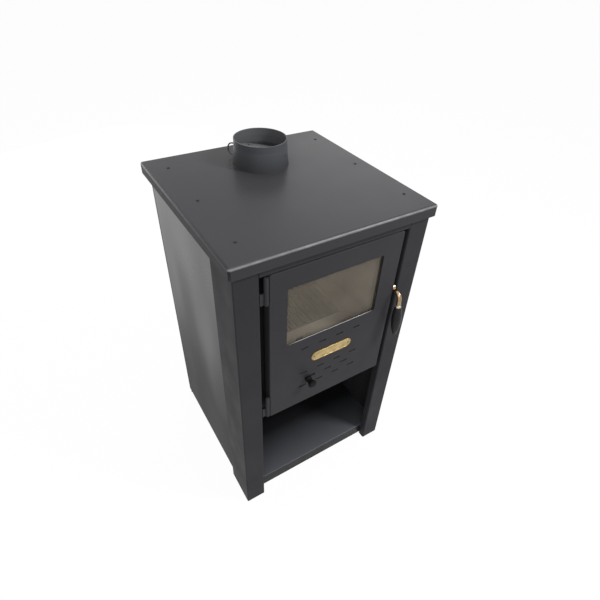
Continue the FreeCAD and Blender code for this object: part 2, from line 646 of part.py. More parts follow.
# Firebox: a welded box of plates that stands on its floor plate between the side panels.
keep(
    "firebox_floor",
    block("floor", ("-panel_in", "panel_in"), ("frame_back", "back_in"), ("firebox_low", "fire_floor")),
)
for name, wall in (("left", ("-fire_out", "-fire_in")), ("right", ("fire_in", "fire_out"))):
    plate = block("plate", wall, ("frame_back", "fire_rear"), ("fire_floor", "under_hob"))
    keep(f"firebox_{name}_plate", plate)
keep(
    "firebox_back_plate",
    block("plate", ("-fire_in", "fire_in"), ("fire_back", "fire_rear"), ("fire_floor", "under_hob")),
)
frame = new_body("frame")
frame_outer = rectangle(
    sketch_on(frame, "XZ", "frame_y"), ("-fire_out", "fire_out"), ("firebox_low", "under_hob"),
)
pad(frame, "XZ", frame_outer, "firebox_sheet")
mouth = rectangle(
    sketch_on(frame, "XZ", "frame_y"), ("mouth_left", "mouth_right"), ("mouth_low", "mouth_high"),
)
pocket(frame, "XZ", mouth, "firebox_sheet")
keep("firebox_front_frame", frame)

# Grate shelf with its opening, and the slotted grate that lies over the opening.
shelf = new_body("grate_shelf")
hearth_plan = rectangle(
    sketch_on(shelf, "XY", "grate_level"), ("-fire_in", "fire_in"), ("frame_back", "fire_back"),
)
pad(shelf, "XY", hearth_plan, "firebox_sheet")
opening = rectangle(
    sketch_on(shelf, "XY", "grate_level"),
    ("grate_ledge - grate_width / 2", "grate_width / 2 - grate_ledge"),
    ("grate_y + grate_ledge", "grate_end - grate_ledge"),
)
pocket(shelf, "XY", opening, "firebox_sheet")
keep("grate_shelf", shelf)
grate = new_body("grate")
grate_plan = rectangle(
    sketch_on(grate, "XY", "hearth"), ("-grate_width / 2", "grate_width / 2"), ("grate_y", "grate_end"),
)
pad(grate, "XY", grate_plan, "grate_thick")
slot_left = "-grate_slot_pitch * (grate_slot_count - 1) / 2 - grate_slot / 2"
grate_middle = "(grate_y + grate_end) / 2"
grate_slots = sketch_on(grate, "XY", "hearth")
for near, far in (("grate_y + grate_rim", grate_middle + " - grate_rim / 2"),
                  (grate_middle + " + grate_rim / 2", "grate_end - grate_rim")):
    rectangle(grate_slots, (slot_left, slot_left + " + grate_slot"), (near, far))
grate_cut = pocket(grate, "XY", grate_slots, "grate_thick")
grate_span = "grate_slot_pitch * (grate_slot_count - 1)"
in_row(grate, grate_cut, grate_slots, "H_Axis", grate_span, "grate_slot_count")
keep("grate", grate)

# Firebricks stand on the grate shelf against the plates, with narrow joints, and carry the baffle.
wall_z = ("hearth", "brick_top")
near_y = ("brick_front", "brick_mid - brick_joint / 2")
far_y = ("brick_mid + brick_joint / 2", "brick_rear - brick_joint")
for name, wall in (("left", ("-fire_in", "-brick_in")), ("right", ("brick_in", "fire_in"))):
    together(
        f"firebricks_{name}", [block("brick", wall, near_y, wall_z), block("brick", wall, far_y, wall_z)],
    )
together("firebricks_back", [
    block("brick", ("-fire_in", "-brick_joint / 2"), ("brick_rear", "fire_back"), wall_z),
    block("brick", ("brick_joint / 2", "fire_in"), ("brick_rear", "fire_back"), wall_z),
])
floor_y = ("brick_front", "brick_rear - brick_joint")
floor_z = ("hearth", "hearth + brick_thick")
grate_x = ("-grate_width / 2", "grate_width / 2")
together("firebricks_floor", [
    block("brick", ("brick_joint - brick_in", "-grate_width / 2 - brick_joint"), floor_y, floor_z),
    block("brick", ("grate_width / 2 + brick_joint", "brick_in - brick_joint"), floor_y, floor_z),
    block("brick", grate_x, ("brick_front", "grate_y - brick_joint"), floor_z),
    block("brick", grate_x, ("grate_end + brick_joint", "brick_rear - brick_joint"), floor_z),
])
baffle_x = ("baffle_play - fire_in", "fire_in - baffle_play")
baffle_y = ("fire_back - baffle_depth", "fire_back")
keep("baffle", block("baffle", baffle_x, baffle_y, ("brick_top", "brick_top + baffle_thick")))

# Ash pan on two runners, with a folded pull.
runner_x = "pan_width / 2 - runner_width"
runner_y = ("pan_y", "pan_y + pan_depth")
together("ash_pan_runners", [
    block("runner", ("-pan_width / 2", f"-({runner_x})"), runner_y, ("fire_floor", "pan_low")),
    block("runner", (runner_x, "pan_width / 2"), runner_y, ("fire_floor", "pan_low")),
])
pan = new_body("pan")
pan_plan = rectangle(
    sketch_on(pan, "XY", "pan_low"), ("-pan_width / 2", "pan_width / 2"), ("pan_y", "pan_y + pan_depth"),
)
pad(pan, "XY", pan_plan, "pan_height")
pan_inside = rectangle(
    sketch_on(pan, "XY", "pan_low + pan_sheet"),
    ("pan_sheet - pan_width / 2", "pan_width / 2 - pan_sheet"),
    ("pan_y + pan_sheet", "pan_y + pan_depth - pan_sheet"),
)
pocket(pan, "XY", pan_inside, "pan_height - pan_sheet")
keep("ash_pan", pan)
pull_z = "pan_low + 2 * pan_height / 3"
extruded("ash_pan_pull", "YZ", "-pan_pull_width / 2", [
    ("pan_y", pull_z), ("pan_y", pull_z + " + pan_sheet"),
    ("pan_y - pan_pull_reach", pull_z + " + pan_sheet"),
    ("pan_y - pan_pull_reach", pull_z + " - pan_pull_reach / 2"),
    ("pan_y - pan_pull_reach + pan_sheet", pull_z + " - pan_pull_reach / 2"),
    ("pan_y - pan_pull_reach + pan_sheet", pull_z),
], "pan_pull_width")

# Flue collar: a rolled cone with a straight spigot, drilled for the damper shaft.
collar = new_body("collar")
flue_shoulder = "flue_height - flue_straight"
revolve(collar, [
    ("flue_base - flue_sheet", "0"), ("flue_base", "0"), ("flue_rim", flue_shoulder),
    ("flue_rim", "flue_height"),
    ("flue_rim - flue_sheet", "flue_height"), ("flue_rim - flue_sheet", flue_shoulder),
])
shaft_holes = circle(
    sketch_on(collar, "YZ", "-flue_base"), "0", "damper_level", "shaft_radius + shaft_play",
)
pocket(collar, "YZ", shaft_holes, "2 * flue_base")
shaft_way = FreeCAD.Rotation(number("damper_turn"), 0, 0)
collar.Placement.Rotation = shaft_way
keep("flue_collar", place(collar, "flue_x", "flue_y", "hob_height"))

# Damper: a disc riding on its shaft, whose outer end carries a wire loop.
disc = new_body("disc")
pad(disc, "XY", circle(sketch_on(disc, "XY", "shaft_radius"), "0", "0", "damper_radius"), "damper_sheet")
for side in ("-", ""):
    hole = circle(sketch_on(disc, "XY", "shaft_radius"), side + "damper_screw_offset", "0", "screw_shank")
    pocket(disc, "XY", hole, "damper_sheet")
disc_way = FreeCAD.Rotation(number("damper_turn"), 0, number("damper_tilt"))
disc.Placement.Rotation = disc_way
keep("damper_disc", place(disc, "flue_x", "flue_y", "hob_height + damper_level"))
shaft = new_body("shaft")
shaft_end = circle(sketch_on(shaft, "YZ", "-flue_rim - shaft_past"), "0", "0", "shaft_radius")
pad(shaft, "YZ", shaft_end, "flue_rim + shaft_past + loop_start")
for side in ("-", ""):
    hole = circle(sketch_on(shaft, "XY", "-shaft_radius"), side + "damper_screw_offset", "0", "screw_shank")
    pocket(shaft, "XY", hole, "2 * shaft_radius")
shaft.Placement.Rotation = disc_way
keep("damper_shaft", place(shaft, "flue_x", "flue_y", "hob_height + damper_level"))
loop = new_body("loop")
loop_leg = "loop_start + loop_wire"
loop_out = loop_leg + " + loop_reach"
loop_path = outline(sketch_on(loop, "XZ"), [
    (loop_leg, "0"), (loop_leg, "loop_bend - loop_drop"),
    (loop_leg + " + loop_bend", "-loop_drop", "loop_bend", 1),
    (loop_out + " - loop_bow", "-loop_drop"), (loop_out, "loop_bow - loop_drop", "loop_bow", 1),
    (loop_out, "loop_rise - loop_bow"), (loop_out + " - loop_bow", "loop_rise", "loop_bow", 1),
    (loop_leg + " + loop_bend", "loop_rise"), (loop_leg, "loop_rise - loop_bend", "loop_bend", 1),
])
pipe(loop, loop_path, circle(sketch_on(loop, "XY"), loop_leg, "0", "loop_wire"))
loop.Placement.Rotation = shaft_way
keep("damper_loop", place(loop, "flue_x", "flue_y", "hob_height + damper_level"))
damper_screws = []
for side in ("-", ""):
    screw = new_body("screw")
    head_z = "shaft_radius + damper_sheet"
    revolve(screw, [
        ("0", "-shaft_radius"), ("screw_shank", "-shaft_radius"), ("screw_shank", head_z),
        ("damper_screw_head", head_z),
        ("damper_screw_head", head_z + " + damper_screw_high"), ("0", head_z + " + damper_screw_high"),
    ])
    screw.Placement.Rotation = disc_way
    offset = f"{side}damper_screw_offset"
    screw_at = (
        f"flue_x + ({offset}) * cos(damper_turn)", f"flue_y + ({offset}) * sin(damper_turn)",
    )
    damper_screws.append(place(screw, *screw_at, "hob_height + damper_level"))
together("damper_screws", damper_screws)

# Door: a folded pan with its window, air slots, knob slot, rivet holes and pivot hole.
door = new_body("door")
door_x = ("door_left", "door_right")
door_z = ("door_low", "door_high")
door_face = outline(sketch_on(door, "XZ", "front_y"), rounded_corners(door_x, door_z, "door_corner"))
door_pad = pad(door, "XZ", door_face, "door_depth")
round_edges(door, door_pad, lambda box: box.YMax < number("front_y") + 0.01, "door_bend")
door_inside = rectangle(
    sketch_on(door, "XZ", "door_inner"),
    ("door_left + door_sheet", "door_right - door_sheet"),
    ("door_low + door_sheet", "door_high - door_sheet"),
)
pocket(door, "XZ", door_inside, "door_depth - door_sheet")
window_x = ("-window_width / 2", "window_width / 2")
window = rounded_corners(window_x, ("window_low", "window_high"), "window_corner")
pocket(door, "XZ", outline(sketch_on(door, "XZ", "front_y"), window), "door_sheet")


def slot_row(body, at, depth, middle, height, count, shift="0"):
    """A row of air slots from its left end, cut through a sheet."""
    left = f"{middle} - slot_length / 2 + ({shift})"
    sketch = rectangle(
        sketch_on(body, "XZ", at),
        (left, left + " + slot_length"),
        (f"{height} - slot_height / 2", f"{height} + slot_height / 2"),
    )
    cut = pocket(body, "XZ", sketch, depth)
    in_row(body, cut, sketch, "H_Axis", f"slot_pitch * ({count} - 1)", count)


row_left = "-slot_pitch * (slots_across - 1) / 2"
slot_row(door, "front_y", "door_sheet", row_left, "slot_upper_z", "slots_across")
slot_row(door, "front_y", "door_sheet", row_left, "slot_rows_z + slot_step", "slots_across")
slot_row(door, "front_y", "door_sheet", row_left, "slot_rows_z - slot_step", "slots_across")
slot_row(door, "front_y", "door_sheet", "0", "slot_rows_z", "slots_short")
stem_room = "(knob_stem + knob_play)"
knob_slot = rectangle(
    sketch_on(door, "XZ", "front_y"),
    (f"knob_x - {stem_room}", f"knob_x + slider_travel + {stem_room}"),
    (f"slot_rows_z - {stem_room}", f"slot_rows_z + {stem_room}"),
)
pocket(door, "XZ", knob_slot, "door_sheet")
rivet_reach = "(plate_length / 2 - rivet_inset)"
rivet_holes = sketch_on(door, "XZ", "front_y")
for side in ("-", "+"):
    circle(rivet_holes, f"plate_x {side} {rivet_reach}", "plate_z", "rivet_shank")
pocket(door, "XZ", rivet_holes, "door_sheet")
pivot_hole = circle(sketch_on(door, "YZ", "door_right - door_sheet"), "pivot_y", "pivot_z", "pivot_tail")
pocket(door, "YZ", pivot_hole, "door_sheet")
keep("door_panel", door)

# Window glass on its gasket, held from behind by clips on welded studs.
gasket = new_body("gasket")
glass_x = ("-glass_half", "glass_half")
gasket_plan = rectangle(sketch_on(gasket, "XZ", "door_inner"), glass_x, ("glass_low", "glass_high"))
pad(gasket, "XZ", gasket_plan, "gasket_thick")
gasket_open = rectangle(
    sketch_on(gasket, "XZ", "door_inner"),
    ("-window_width / 2 - gasket_lap", "window_width / 2 + gasket_lap"),
    ("window_low - gasket_lap", "window_high + gasket_lap"),
)
pocket(gasket, "XZ", gasket_open, "gasket_thick")
keep("glass_gasket", gasket)
keep("window_glass", block("glass", glass_x, ("glass_y", "glass_back"), ("glass_low", "glass_high")))
clips = []
studs = []
for edge, away in (("glass_high", "+"), ("glass_low", "-")):
    back = "-" if away == "+" else "+"
    leg = f"{edge} {away} clip_gap"
    foot = f"{leg} {away} clip_sheet {away} clip_foot"
    stud_z = f"{leg} {away} clip_sheet {away} clip_foot / 2"
    for side in ("-", ""):
        clip = new_body("clip")
        left = f"{side}clip_x - clip_width / 2"
        section = [
            ("glass_back", f"{edge} {back} clip_lap"),
            ("glass_back + clip_sheet", f"{edge} {back} clip_lap"),
            ("glass_back + clip_sheet", f"{leg} {away} clip_sheet"),
            ("door_inner + clip_sheet", f"{leg} {away} clip_sheet"),
            ("door_inner + clip_sheet", foot), ("door_inner", foot), ("door_inner", leg),
            ("glass_back", leg),
        ]
        pad(clip, "YZ", outline(sketch_on(clip, "YZ", left), section), "clip_width")
        stud_hole = circle(sketch_on(clip, "XZ", "door_inner"), side + "clip_x", stud_z, "clip_stud")
        pocket(clip, "XZ", stud_hole, "clip_sheet")
        clips.append(clip)
        stud = new_body("stud")
        nut_low = "clip_sheet"
        nut_high = "clip_sheet + clip_nut_high"
        revolve(stud, [
            ("0", "0"), ("clip_stud", "0"), ("clip_stud", nut_low), ("clip_nut", nut_low),
            ("clip_nut", nut_high),
            ("clip_stud", nut_high), ("clip_stud", nut_high + " + clip_stud"),
            ("0", nut_high + " + clip_stud"),
        ])
        stud.Placement.Rotation = FreeCAD.Rotation(FreeCAD.Vector(1, 0, 0), -90)
        studs.append(place(stud, side + "clip_x", "door_inner", stud_z))
together("glass_clips", clips)
together("glass_clip_studs", studs)

# Seal channel welded inside the door's edge, with the rope seal lying in it.
def door_ring(inset, radius):
    """Rounded corners of a ring set in from the door's edges."""
    return rounded_corners(
        (f"door_left + {inset}", f"door_right - {inset}"),
        (f"door_low + {inset}", f"door_high - {inset}"),
        radius,
    )


channel = new_body("channel")
rope_room = "rope_radius + rope_play"
channel_plan = sketch_on(channel, "XZ", "channel_y")
outline(channel_plan, door_ring("door_sheet", f"(rope_bend + {rope_room} + channel_sheet)"))
outline(
    channel_plan, door_ring("(door_sheet + channel_wide)", f"(rope_bend - ({rope_room}) - channel_sheet)"),
)
pad(channel, "XZ", channel_plan, "channel_sheet + channel_depth")
groove = sketch_on(channel, "XZ", "channel_y + channel_sheet")
outline(groove, door_ring("(door_sheet + channel_sheet)", f"(rope_bend + {rope_room})"))
outline(groove, door_ring("(door_sheet + channel_wide - channel_sheet)", f"(rope_bend - ({rope_room}))"))
pocket(channel, "XZ", groove, "channel_depth")
keep("door_seal_channel", channel)
rope = new_body("rope")
rope_path = outline(sketch_on(rope, "XZ", "rope_y"), door_ring("rope_inset", "rope_bend"))
rope_plane = sketch_on(rope, "YZ", "(door_left + door_right) / 2")
pipe(rope, rope_path, circle(rope_plane, "rope_y", "door_low + rope_inset", "rope_radius"))
keep("door_rope_seal", rope)

# Air slider behind the lower slots, its guides, and the knob on its stem.
slider = new_body("slider")
slider_plan = rectangle(
    sketch_on(slider, "XZ", "slider_y"), ("slider_left", "slider_right"), ("slider_low", "slider_high"),
)
pad(slider, "XZ", slider_plan, "slider_sheet")
for height in ("slot_rows_z + slot_step", "slot_rows_z - slot_step"):
    slot_row(slider, "slider_y", "slider_sheet", row_left, height, "slots_across", "-slider_travel")
slot_row(slider, "slider_y", "slider_sheet", "0", "slot_rows_z", "slots_short", "-slider_travel")
keep("air_slider", slider)
for name, edge, away in (("upper", "slider_high", 1), ("lower", "slider_low", -1)):
    sign = "+" if away > 0 else "-"
    back = "-" if away > 0 else "+"
    extruded(f"slider_guide_{name}", "YZ", "guide_left", [
        ("door_inner", f"{edge} {sign} slider_play"), ("door_inner", f"{edge} {sign} guide_foot"),
        ("guide_y + slider_sheet", f"{edge} {sign} guide_foot"),
        ("guide_y + slider_sheet", f"{edge} {back} guide_lap"),
        ("guide_y", f"{edge} {back} guide_lap"), ("guide_y", f"{edge} {sign} slider_play"),
    ], "guide_right - guide_left")
stem_length = "slider_y - front_y + knob_gap + knob_length / 2"
keep(
    "air_knob_stem", rod("stem", "knob_stem", stem_length, "knob_x", "slider_y", "slot_rows_z", (0, -1, 0)),
)
knob = new_body("knob")
revolve(knob, [
    ("knob_stem", "0"),
    ("knob_root", "0"),
    ("knob_root", "knob_collar"),
    ("knob_waist", "knob_neck"),
    ("knob_waist", "knob_length / 2"),
    ("knob_end", "knob_flare"),
    ("knob_end", "knob_flare + knob_rim"),
    ("knob_waist", "knob_length"),
    ("0", "knob_length"),
    ("0", "knob_length / 2"),
    ("knob_stem", "knob_length / 2"),
])
knob.Placement.Rotation = FreeCAD.Rotation(FreeCAD.Vector(1, 0, 0), 90)
keep("air_knob", place(knob, "knob_x", "front_y - knob_gap", "slot_rows_z"))

# Brass plate with round ends, on two rivets.
plate = new_body("plate")
plate_round = "plate_height / 2"
plate_left = f"plate_x - plate_length / 2 + {plate_round}"
plate_right = f"plate_x + plate_length / 2 - {plate_round}"
plate_low = f"plate_z - {plate_round}"
plate_high = f"plate_z + {plate_round}"
pad(plate, "XZ", outline(sketch_on(plate, "XZ", "front_y - plate_thick"), [
    (plate_left, plate_low, plate_round, 1),
    (plate_right, plate_low),
    ("plate_x + plate_length / 2", "plate_z", plate_round, 1),
    (plate_right, plate_high, plate_round, 1),
    (plate_left, plate_high),
    ("plate_x - plate_length / 2", "plate_z", plate_round, 1),
]), "plate_thick")
plate_holes = sketch_on(plate, "XZ", "front_y - plate_thick")
for side in ("-", "+"):
    circle(plate_holes, f"plate_x {side} {rivet_reach}", "plate_z", "rivet_shank")
pocket(plate, "XZ", plate_holes, "plate_thick")
keep("brass_plate", plate)
rivets = []
for side in ("-", "+"):
    rivet = new_body("rivet")
    revolve(rivet, [
        ("0", "-door_sheet - plate_thick"), ("rivet_shank", "-door_sheet - plate_thick"),
        ("rivet_shank", "0"),
        ("rivet_head", "0"), ("rivet_head / 2", "rivet_high"), ("0", "rivet_high"),
    ])
    rivet.Placement.Rotation = FreeCAD.Rotation(FreeCAD.Vector(1, 0, 0), 90)
    rivets.append(place(rivet, f"plate_x {side} {rivet_reach}", "front_y - plate_thick", "plate_z"))
together("brass_plate_rivets", rivets)

# Hinges: barrel halves welded to post and door, a pin pressed into the post half, a washer between.
door_halves = []
post_halves = []
pins = []
washers = []
for middle in ("hinge_upper_z", "hinge_lower_z"):
    lower = new_body("post_half")
    revolve(lower, [
        ("0", "-hinge_half"), ("hinge_radius - hinge_dome", "-hinge_half"),
        ("hinge_radius", "hinge_dome - hinge_half", "hinge_dome", 1), ("hinge_radius", "0"),
        ("pin_radius", "0"),
        ("pin_radius", "-pin_reach"), ("0", "-pin_reach"),
    ])
    leaf_low = "hinge_dome - hinge_half"
    leaf_x = ("hinge_offset - hinge_gap", "-(pin_radius + hinge_radius) / 2")
    leaf = rectangle(sketch_on(lower, "XY", leaf_low), leaf_x, ("0", "hinge_leaf"))
    pad(lower, "XY", leaf, "hinge_half - 2 * hinge_dome")
    post_halves.append(place(lower, "hinge_x", "front_y", f"{middle} - washer_thick / 2"))
    upper = new_body("door_half")
    bore = "pin_radius + pin_play"
    revolve(upper, [
        ("0", "hinge_half"), ("0", "pin_reach + washer_play"), (bore, "pin_reach + washer_play"), (bore, "0"),
        ("hinge_radius", "0"),
        ("hinge_radius", "hinge_half - hinge_dome"),
        ("hinge_radius - hinge_dome", "hinge_half", "hinge_dome", 1),
    ])
    leaf_x = ("(pin_radius + hinge_radius) / 2", "hinge_offset")
    leaf_y = ("hinge_leaf / 2", "3 * hinge_leaf / 2")
    leaf = rectangle(sketch_on(upper, "XY", "hinge_dome"), leaf_x, leaf_y)
    pad(upper, "XY", leaf, "hinge_half - 2 * hinge_dome")
    door_halves.append(place(upper, "hinge_x", "front_y", f"{middle} + washer_thick / 2 + washer_play"))
    pin_low = f"{middle} - washer_thick / 2 - pin_reach"
    pins.append(rod("pin", "pin_radius", "2 * pin_reach + washer_thick", "hinge_x", "front_y", pin_low))
    washer = new_body("washer")
    ring = circle(sketch_on(washer, "XY"), "0", "0", "hinge_radius")
    pad(washer, "XY", circle(ring, "0", "0", "pin_radius + pin_play"), "washer_thick")
    washers.append(place(washer, "hinge_x", "front_y", f"{middle} - washer_thick / 2"))
together("hinge_post_halves", post_halves)
together("hinge_door_halves", door_halves)
together("hinge_pins", pins)
together("hinge_washers", washers)

# Handle: a flat lever in the gap beside the door, hooked under a keeper on the post, with neck and grip.
lever = new_body("lever")
hook_back = "pivot_y + lever_hook + lever_lip"
pad(lever, "YZ", outline(sketch_on(lever, "YZ", "lever_x"), [
    ("neck_y", "pivot_z - lever_low"),
    (hook_back, "pivot_z - lever_low"),
    (hook_back, "pivot_z + lever_lip_high"),
    ("pivot_y + lever_hook", "pivot_z + lever_lip_high"),
    ("pivot_y + lever_hook", "pivot_z"),
    ("pivot_y + lever_boss", "pivot_z"),
    ("pivot_y", "pivot_z + lever_boss", "lever_boss", 1),
    ("pivot_y - lever_boss", "pivot_z", "lever_boss", 1),
    ("neck_y", "pivot_z"),
]), "lever_sheet")
lever_bore = circle(sketch_on(lever, "YZ", "lever_x"), "pivot_y", "pivot_z", "pivot_radius + pivot_play")
pocket(lever, "YZ", lever_bore, "lever_sheet")
keep("handle_lever", lever)
pivot = new_body("pivot")
shoulder = "door_sheet + pivot_washer + lever_sheet + 2 * pivot_side_play"
revolve(pivot, [
    ("0", "0"), ("pivot_tail", "0"), ("pivot_tail", "door_sheet"), ("pivot_radius", "door_sheet"),
    ("pivot_radius", shoulder), ("pivot_head", shoulder), ("pivot_head", shoulder + " + pivot_head_high"),
    ("0", shoulder + " + pivot_head_high"),
])
pivot.Placement.Rotation = FreeCAD.Rotation(FreeCAD.Vector(0, 1, 0), 90)
keep("handle_pivot", place(pivot, "door_right - door_sheet", "pivot_y", "pivot_z"))
washer = new_body("washer")
ring = circle(sketch_on(washer, "YZ", "door_right"), "pivot_y", "pivot_z", "lever_boss")
pad(washer, "YZ", circle(ring, "pivot_y", "pivot_z", "pivot_radius + pivot_play"), "pivot_washer")
keep("handle_washer", washer)
keeper_length = "latch_gap - keeper_gap"
keep("latch_keeper", rod("keeper", "keeper_radius", keeper_length, "post_in", "pivot_y + keeper_back",
                         "pivot_z + keeper_up", (-1, 0, 0)))
neck = new_body("neck")
neck_path = outline(sketch_on(neck, "YZ", "neck_x"), [
    ("neck_y", "neck_z"), ("neck_arc_y", "neck_arc_z", "neck_bend", 1), ("neck_end_y", "neck_end_z"),
], closed=False)
pipe(neck, neck_path, circle(sketch_on(neck, "XZ", "neck_y"), "neck_x", "neck_z", "neck_radius"))
keep("handle_neck", neck)
ferrule = new_body("ferrule")
revolve(
    ferrule,
    [("0", "0"), ("0", "-ferrule_length"), ("ferrule_radius", "-ferrule_length"), ("ferrule_radius", "0")],
)
grip_lean = FreeCAD.Rotation(FreeCAD.Vector(1, 0, 0), -number("grip_tilt"))
ferrule.Placement.Rotation = grip_lean
keep("handle_ferrule", place(ferrule, "neck_x", "neck_end_y", "neck_end_z"))
grip = new_body("grip")
tip_z = "grip_tip_length - grip_length"
tip_round = "(grip_tip^2 + grip_tip_length^2) / (2 * grip_tip_length)"
revolve(grip, [
    ("0", "0"), ("0", "-grip_length"), ("grip_tip", tip_z, tip_round, 1),
    ("grip_top", "0", "grip_belly", 1),
])
grip.Placement.Rotation = grip_lean
keep("handle_grip", place(grip, "neck_x", "grip_y", "grip_z"))

doc.recompute()
for item in doc.Objects:
    if "Invalid" in item.State or "Error" in item.State:
        raise RuntimeError(f"{item.Label} did not build: {item.State}")
for label, piece in pieces.items():
    if piece.Shape.isNull() or not piece.Shape.isValid() or not piece.Shape.Solids:
        raise RuntimeError(f"{label} has no valid solid")
os.makedirs("parts", exist_ok=True)
for label, piece in pieces.items():
    piece.Shape.exportStep(f"parts/{label}.step")
print(len(pieces), "pieces written")
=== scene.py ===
import bmesh
import bpy
import numpy as np
from mathutils import Euler, Matrix, Vector


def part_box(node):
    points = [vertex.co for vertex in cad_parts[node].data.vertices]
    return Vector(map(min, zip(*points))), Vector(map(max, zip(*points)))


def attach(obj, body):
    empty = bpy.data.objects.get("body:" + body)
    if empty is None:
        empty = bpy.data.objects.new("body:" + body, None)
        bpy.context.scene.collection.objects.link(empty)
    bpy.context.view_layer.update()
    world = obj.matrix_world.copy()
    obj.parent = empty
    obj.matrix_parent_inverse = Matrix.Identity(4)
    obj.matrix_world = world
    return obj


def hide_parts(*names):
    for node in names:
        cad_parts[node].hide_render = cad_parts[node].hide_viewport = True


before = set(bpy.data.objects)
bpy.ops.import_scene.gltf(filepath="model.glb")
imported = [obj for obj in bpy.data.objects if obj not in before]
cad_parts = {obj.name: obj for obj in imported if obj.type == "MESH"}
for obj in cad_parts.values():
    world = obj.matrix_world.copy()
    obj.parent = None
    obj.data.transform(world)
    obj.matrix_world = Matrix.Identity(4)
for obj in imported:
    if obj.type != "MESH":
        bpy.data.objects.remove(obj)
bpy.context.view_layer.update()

# Casing: front posts, back sheet, top rails, header strip and rear feet.
# Folded sheet steel under matt black stove paint, welded and screwed edge to edge.
# The paint is sprayed, so it has a fine grain and soft clouds.


def bare_finish(name, metal):
    """A new material with its shader and the object's own coordinates."""
    mat = bpy.data.materials.new(name)
    mat.use_nodes = True
    tree = mat.node_tree
    shader = tree.nodes["Principled BSDF"]
    shader.inputs["Metallic"].default_value = metal
    where = tree.nodes.new("ShaderNodeTexCoord").outputs["Object"]
    return mat, tree, shader, where


def clouds(tree, where, per_metre, detail, stretch=(1, 1, 1)):
    """Soft noise with a number of lumps to the metre, drawn out along an axis where stretch is small."""
    mapping = tree.nodes.new("ShaderNodeMapping")
    mapping.inputs["Scale"].default_value = stretch
    noise = tree.nodes.new("ShaderNodeTexNoise")
    noise.inputs["Scale"].default_value = per_metre
    noise.inputs["Detail"].default_value = detail
    tree.links.new(where, mapping.inputs["Vector"])
    tree.links.new(mapping.outputs["Vector"], noise.inputs["Vector"])
    return noise.outputs["Fac"]


def between(tree, amount, low, high, start=0.32, end=0.68):
    """A number that goes from low to high as the amount goes from start to end."""
    ranged = tree.nodes.new("ShaderNodeMapRange")
    ranged.inputs["From Min"].default_value = start
    ranged.inputs["From Max"].default_value = end
    ranged.inputs["To Min"].default_value = low
    ranged.inputs["To Max"].default_value = high
    tree.links.new(amount, ranged.inputs["Value"])
    return ranged.outputs["Result"]


def shades(tree, amount, stops):
    """A colour read off a ramp, given as (place, colour) stops."""
    ramp = tree.nodes.new("ShaderNodeValToRGB")
    marks = ramp.color_ramp.elements
    while len(marks) < len(stops):
        marks.new(0.5)
    for mark, (place, colour) in zip(marks, stops):
        mark.position = place
        mark.color = (*colour, 1)
    tree.links.new(amount, ramp.inputs["Fac"])
    return ramp.outputs["Color"]


def relief(tree, shader, height, depth, strength):
    """Fine surface relief of a depth in metres."""
    bump = tree.nodes.new("ShaderNodeBump")
    bump.inputs["Distance"].default_value = depth
    bump.inputs["Strength"].default_value = strength
    tree.links.new(height, bump.inputs["Height"])
    tree.links.new(bump.outputs["Normal"], shader.inputs["Normal"])


def paint_coat(name, smooth, rough, gloss=0.07, grain=900, grain_depth=0.00006):
    """Stove paint still without its shade: a cool clouded gloss over the grain of the spray."""
    mat, tree, shader, where = bare_finish(name, 0.0)
    shader.inputs["Specular IOR Level"].default_value = gloss
    shader.inputs["Specular Tint"].default_value = (0.96, 0.95, 1.0, 1)
    tree.links.new(between(tree, clouds(tree, where, 16, 8), smooth, rough), shader.inputs["Roughness"])
    relief(tree, shader, clouds(tree, where, grain, 3), grain_depth, 0.55)
    return mat, tree, shader, where


def sprayed_paint(name, deep, pale, *coat):
    """Black stove paint whose shade drifts from deep to pale, over a coat as paint_coat takes it."""
    mat, tree, shader, where = paint_coat(name, *coat)
    shade = shades(tree, clouds(tree, where, 5, 7), [(0.25, deep), (0.75, pale)])
    tree.links.new(shade, shader.inputs["Base Color"])
    return mat


def dress(mat, *names):
    """Gives a finish to the solids that have it."""
    for name in names:
        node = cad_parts[name]
        if node.material_slots:
            for place in node.material_slots:
                place.material = mat
        else:
            node.data.materials.append(mat)


casing_paint = sprayed_paint("casing_paint", (0.0185, 0.0185, 0.0205), (0.0235, 0.0235, 0.026), 0.5, 0.6)
dress(
    casing_paint, "front_post_left", "front_post_right", "side_rail_left", "side_rail_right",
    "rear_foot_left", "rear_foot_right", "back_panel", "front_header",
)

# Wood shelf: the floor of the log niche, one black sheet folded down along its front edge.
# Its top is painted paler near the open front as painted light, fading to painted shade, darker than the
# casing, towards the back of the niche and on the fold.
shelf_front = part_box("wood_shelf")[0][1]
shelf_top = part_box("wood_shelf")[1][2]
lit_reach = 0.115
lit_foot, lit_full = shelf_top - 0.0030, shelf_top - 0.0004


def axes(tree, where):
    """A point's X, Y and Z, each by itself."""
    split = tree.nodes.new("ShaderNodeSeparateXYZ")
    tree.links.new(where, split.inputs["Vector"])
    return split.outputs


def worked(tree, operation, *terms):
    """The outcome of one sum, whose terms are sockets or plain numbers."""
    step = tree.nodes.new("ShaderNodeMath")
    step.operation = operation
    for term, socket in zip(terms, step.inputs):
        if isinstance(term, float):
            socket.default_value = term
        else:
            tree.links.new(term, socket)
    return step.outputs["Value"]


